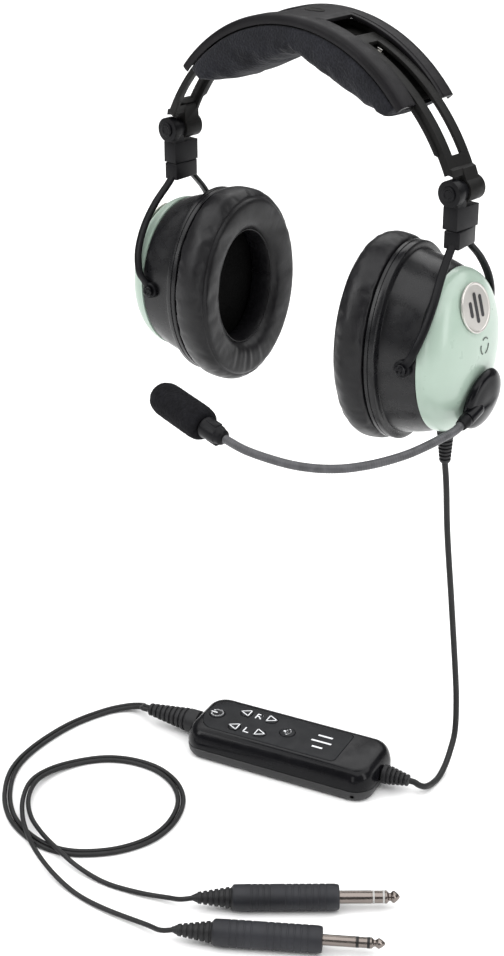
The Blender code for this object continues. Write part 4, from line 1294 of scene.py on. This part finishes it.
# tops of the key caps and of the panel, where the marks are
CAP_TOP, PANEL_TOP = 18.86, 18.2
KEYS = {
    "power": (-44.0, 0.0, 4.3), "right_up": (-29.5, 7.6, 3.4), "right_down": (-14.0, 7.6, 3.4),
    "left_up": (-29.5, -7.6, 3.4), "left_down": (-14.0, -7.6, 3.4), "wireless": (-0.8, 0.0, 4.3)
}
piece(
    "module_lid",
    outlines([
        (6.4, 15.7), (4.0, 14.4), (2.1, 10.0), (2.0, 6.9), (0.5, 6.8), (0.1, 7.1), (0.0, 7.8), (0.05, 9.4),
        (0.3, 11.2), (0.8, 13.2), (1.5, 15.0), (2.4, 16.4), (3.4, 17.3), (4.6, 17.8), (6.0, 17.95)
    ]),
    "lead", MODULE, replaces="module_top",
    steps=[cut(rings_part([pad_plan(-0.3, 17.2), pad_plan(-0.3, 20.0)])), *boot_holes], angle=30
)
piece(
    "keypad_panel",
    rings_part([pad_plan(0.0, 17.3), pad_plan(0.0, 18.0), pad_plan(0.25, 18.15), pad_plan(0.6, PANEL_TOP)]),
    "lead", FILM, replaces="keypad",
    steps=[cut(rod(module(s, t, 16.0), module(s, t, 19.5), r + 0.3, 48)) for s, t, r in KEYS.values()],
    angle=30
)


def stroke(points, width, h, closed=False):
    """A flat line of even width printed on the keypad, points in module coordinates."""
    pts = [Vector((s, t, 0)) for s, t in points]
    if closed:
        pts = pts + [pts[0]]
    quads = []
    for a, b in zip(pts, pts[1:]):
        d = (b - a).normalized()
        n = Vector((-d.y, d.x, 0)) * width / 2
        e = d * width * 0.35
        ring = [a - e + n, b + e + n, b + e - n, a - e - n]
        quads.append(rings_part([[module(p.x, p.y, z) for p in ring] for z in (h, h + 0.08)]))
    return quads


def arc_points(s, t, r, a0, a1, n=20):
    """Points of an arc in module coordinates, between two angles in degrees."""
    angles = [radians(a0 + (a1 - a0) * k / n) for k in range(n + 1)]
    return [(s + r * cos(a), t + r * sin(a)) for a in angles]


symbols = {
    "power": stroke(arc_points(-44.0, 0.0, 3.1, -145, 145), 0.85, CAP_TOP),
    "wireless": stroke(arc_points(-2.2, 0.0, 1.7, -60, 60, 10), 0.6, CAP_TOP)
}
symbols["power"] += stroke([(-47.4, 0.0), (-44.2, 0.0)], 0.85, 18.96)
symbols["wireless"] += stroke(arc_points(-2.2, 0.0, 3.2, -55, 55, 12), 0.6, CAP_TOP)
symbols["wireless"] += stroke([(-2.6, 0.0), (-2.0, 0.0)], 1.2, CAP_TOP)
for row, t in (("right", 7.6), ("left", -7.6)):
    symbols[row + "_up"] = stroke([(-32.6, t), (-27.4, t + 2.9), (-27.4, t - 2.9)], 0.62, CAP_TOP, True)
    symbols[row + "_down"] = stroke([(-10.9, t), (-16.1, t + 2.9), (-16.1, t - 2.9)], 0.62, CAP_TOP, True)
for name, (s, t, r) in KEYS.items():
    body = name + "_key"
    piece(
        name + "_cap",
        lathe(
            module(s, t, 14.6), (0, 0, 1),
            [
                (0, 1.4), (2.9, 1.4), (2.9, r - 0.2), (3.2, r), (3.7, r), (4.0, r - 0.25), (4.18, r - 0.8),
                (4.25, r * 0.5), (4.25, 0)
            ],
            48
        ),
        body, FILM, replaces=name + "_button", angle=30
    )
    piece(name + "_symbol", symbols[name], body, MARKS, angle=30)
# the letters read from the module's near side: right ear on the far row, left ear on the near row
letters = stroke([(-23.2, 5.6), (-23.2, 9.8)], 0.75, PANEL_TOP)
letters += stroke(
    [(-23.2, 9.6), (-21.2, 9.6)] + arc_points(-21.2, 8.55, 1.05, 90, -90, 10) + [(-23.2, 7.5)], 0.75, 18.26
)
letters += stroke([(-21.9, 7.5), (-20.1, 5.6)], 0.75, 18.32)
letters += stroke([(-23.2, -5.4), (-23.2, -9.6), (-20.3, -9.6)], 0.75, PANEL_TOP)
for t, half in ((-5.6, 2.6), (0.0, 5.4), (5.6, 3.8)):
    letters += stroke([(19.6 - half, t), (19.6 + half, t)], 1.3, PANEL_TOP)
piece("keypad_letters", letters, "lead", MARKS, angle=30)
for node, look in (("module_board", BOARD), ("battery_front", CELL), ("battery_rear", CELL)):
    repaint(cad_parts[node], look)


def ribbed(start, way, neck, lengths, big, small, count):
    prof = [
        (0, neck + 1.0), (1.6, neck + 1.0), (1.6, neck), (lengths[0], neck), (lengths[0], big - 0.4),
        (lengths[0] + 0.3, big), (lengths[1] - 0.3, big), (lengths[1], big - 0.3)
    ]
    step = (lengths[2] - lengths[1]) / count
    for k in range(count):
        r = big + (small - big) * (k + 0.5) / count
        x = lengths[1] + step * k
        prof += [
            (x + step * 0.06, r - 0.85), (x + step * 0.34, r - 0.85), (x + step * 0.42, r - 0.15),
            (x + step * 0.5, r), (x + step * 0.86, r - 0.05), (x + step * 0.96, r - 0.2)
        ]
    prof += [(lengths[2], small - 0.6), (lengths[2], 0)]
    return lathe(start, way, prof, 40)


piece(
    "inlet_strain_relief",
    ribbed(module(50.1, BOOT_T, BOOT_H), forward, 3.2, (5.8, 8.4, 20.2), 5.2, 3.0, 5), "lead", BOOT,
    replaces="module_inlet_boot", angle=38
)
piece(
    "outlet_strain_relief",
    ribbed(module(-50.1, BOOT_T, BOOT_H), -forward, 3.2, (5.8, 13.0, 37.7), 6.6, 3.4, 8), "lead", BOOT,
    replaces="module_outlet_boot", angle=38
)

# ---------------------------------------------------------------- plugs
for plug, ((px, py), turn, shaft) in PLUGS.items():
    way = heading(turn)
    at = Vector((px, py, FLOOR_Z + PLUG_H))
    prof = [(-2.6, 0), (-2.6, 1.3), (-1.6, 1.6), (-0.6, 2.1), (0.2, 2.4)]
    for k in range(6):
        r = 2.75 + 0.42 * k
        x = 0.4 + 2.7 * k
        prof += [
            (x, r), (x + 0.2, r + 0.12), (x + 1.5, r + 0.3), (x + 1.75, r + 0.15), (x + 1.85, r - 0.3),
            (x + 2.5, r - 0.25)
        ]
    prof += [(16.6, 5.0), (16.9, 5.4), (17.4, 5.6), (17.4, 0)]
    piece(
        plug + "_plug_relief", lathe(at, way, prof, 40), "lead", BOOT, replaces=plug + "_plug_body",
        angle=38
    )
    body = [(17.2, 0), (17.2, 5.6), (17.6, 6.2), (18.4, 6.4)]
    for k in range(4):
        x = 25.0 + 3.4 * k if plug == "mic" else 26.0 + 2.9 * k
        body += [(x, 6.5), (x + 0.2, 6.32), (x + 0.8, 6.32), (x + 1.0, 6.5)]
    for k in range(7):
        x = 42.5 + 3.2 * k
        body += [(x, 6.5), (x + 0.25, 6.3), (x + 0.85, 6.3), (x + 1.1, 6.5)]
    body += [
        (66.5, 6.45), (68.0, 6.25), (68.7, 5.9), (68.9, 5.4), (68.9, shaft + 0.35), (50.0, shaft + 0.35),
        (50.0, 0)
    ]
    piece(
        plug + "_plug_barrel", lathe(at, way, body, 56), "lead", PLUG, replaces=plug + "_plug_body",
        angle=32
    )
    r = shaft
    rod_profile = [
        (50.6, 0), (50.6, r), (84.4, r), (84.5, r - 0.1), (91.0, r - 0.1), (91.1, r), (91.9, r),
        (92.4, r * 0.86), (93.0, r * 0.64), (93.7, r * 0.6), (94.4, r * 0.8), (95.0, r * 0.95),
        (95.7, r * 0.92), (97.0, r * 0.6), (98.0, r * 0.28), (98.4, 0)
    ]
    piece(
        plug + "_plug_shaft", lathe(at, way, rod_profile, 48), "lead", STEEL,
        replaces=plug + "_plug_contact", angle=32
    )
    bands = []
    for x0, x1 in ((85.0, 85.9), (89.9, 90.8)) if plug == "phones" else ((84.6, 85.9), (89.8, 91.1)):
        bands.append(lathe(
            at + way * x0, way, [(0, r - 0.3), (0, r + 0.02), (x1 - x0, r + 0.02), (x1 - x0, r - 0.3)], 48,
            loop=True
        ))
    piece(
        plug + "_plug_bands", bands, "lead",
        material("light_band", (0.35, 0.35, 0.34), 0.45) if plug == "phones" else RING, angle=40,
    )


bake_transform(lead_cord)

# ---------------------------------------------------------------- floor
bm = bmesh.new()
bmesh.ops.create_grid(bm, x_segments=2, y_segments=2, size=12)
bmesh.ops.translate(bm, verts=bm.verts, vec=(0, 0, (FLOOR_Z + DROP) * MM))
mesh = bpy.data.meshes.new("floor")
bm.to_mesh(mesh)
bm.free()
floor = link("floor", mesh)
floor.data.materials.append(
    material("floor_white", (0.93, 0.93, 0.93), 0.9, vary=0.005, vary_scale=2, specular=0.1)
)
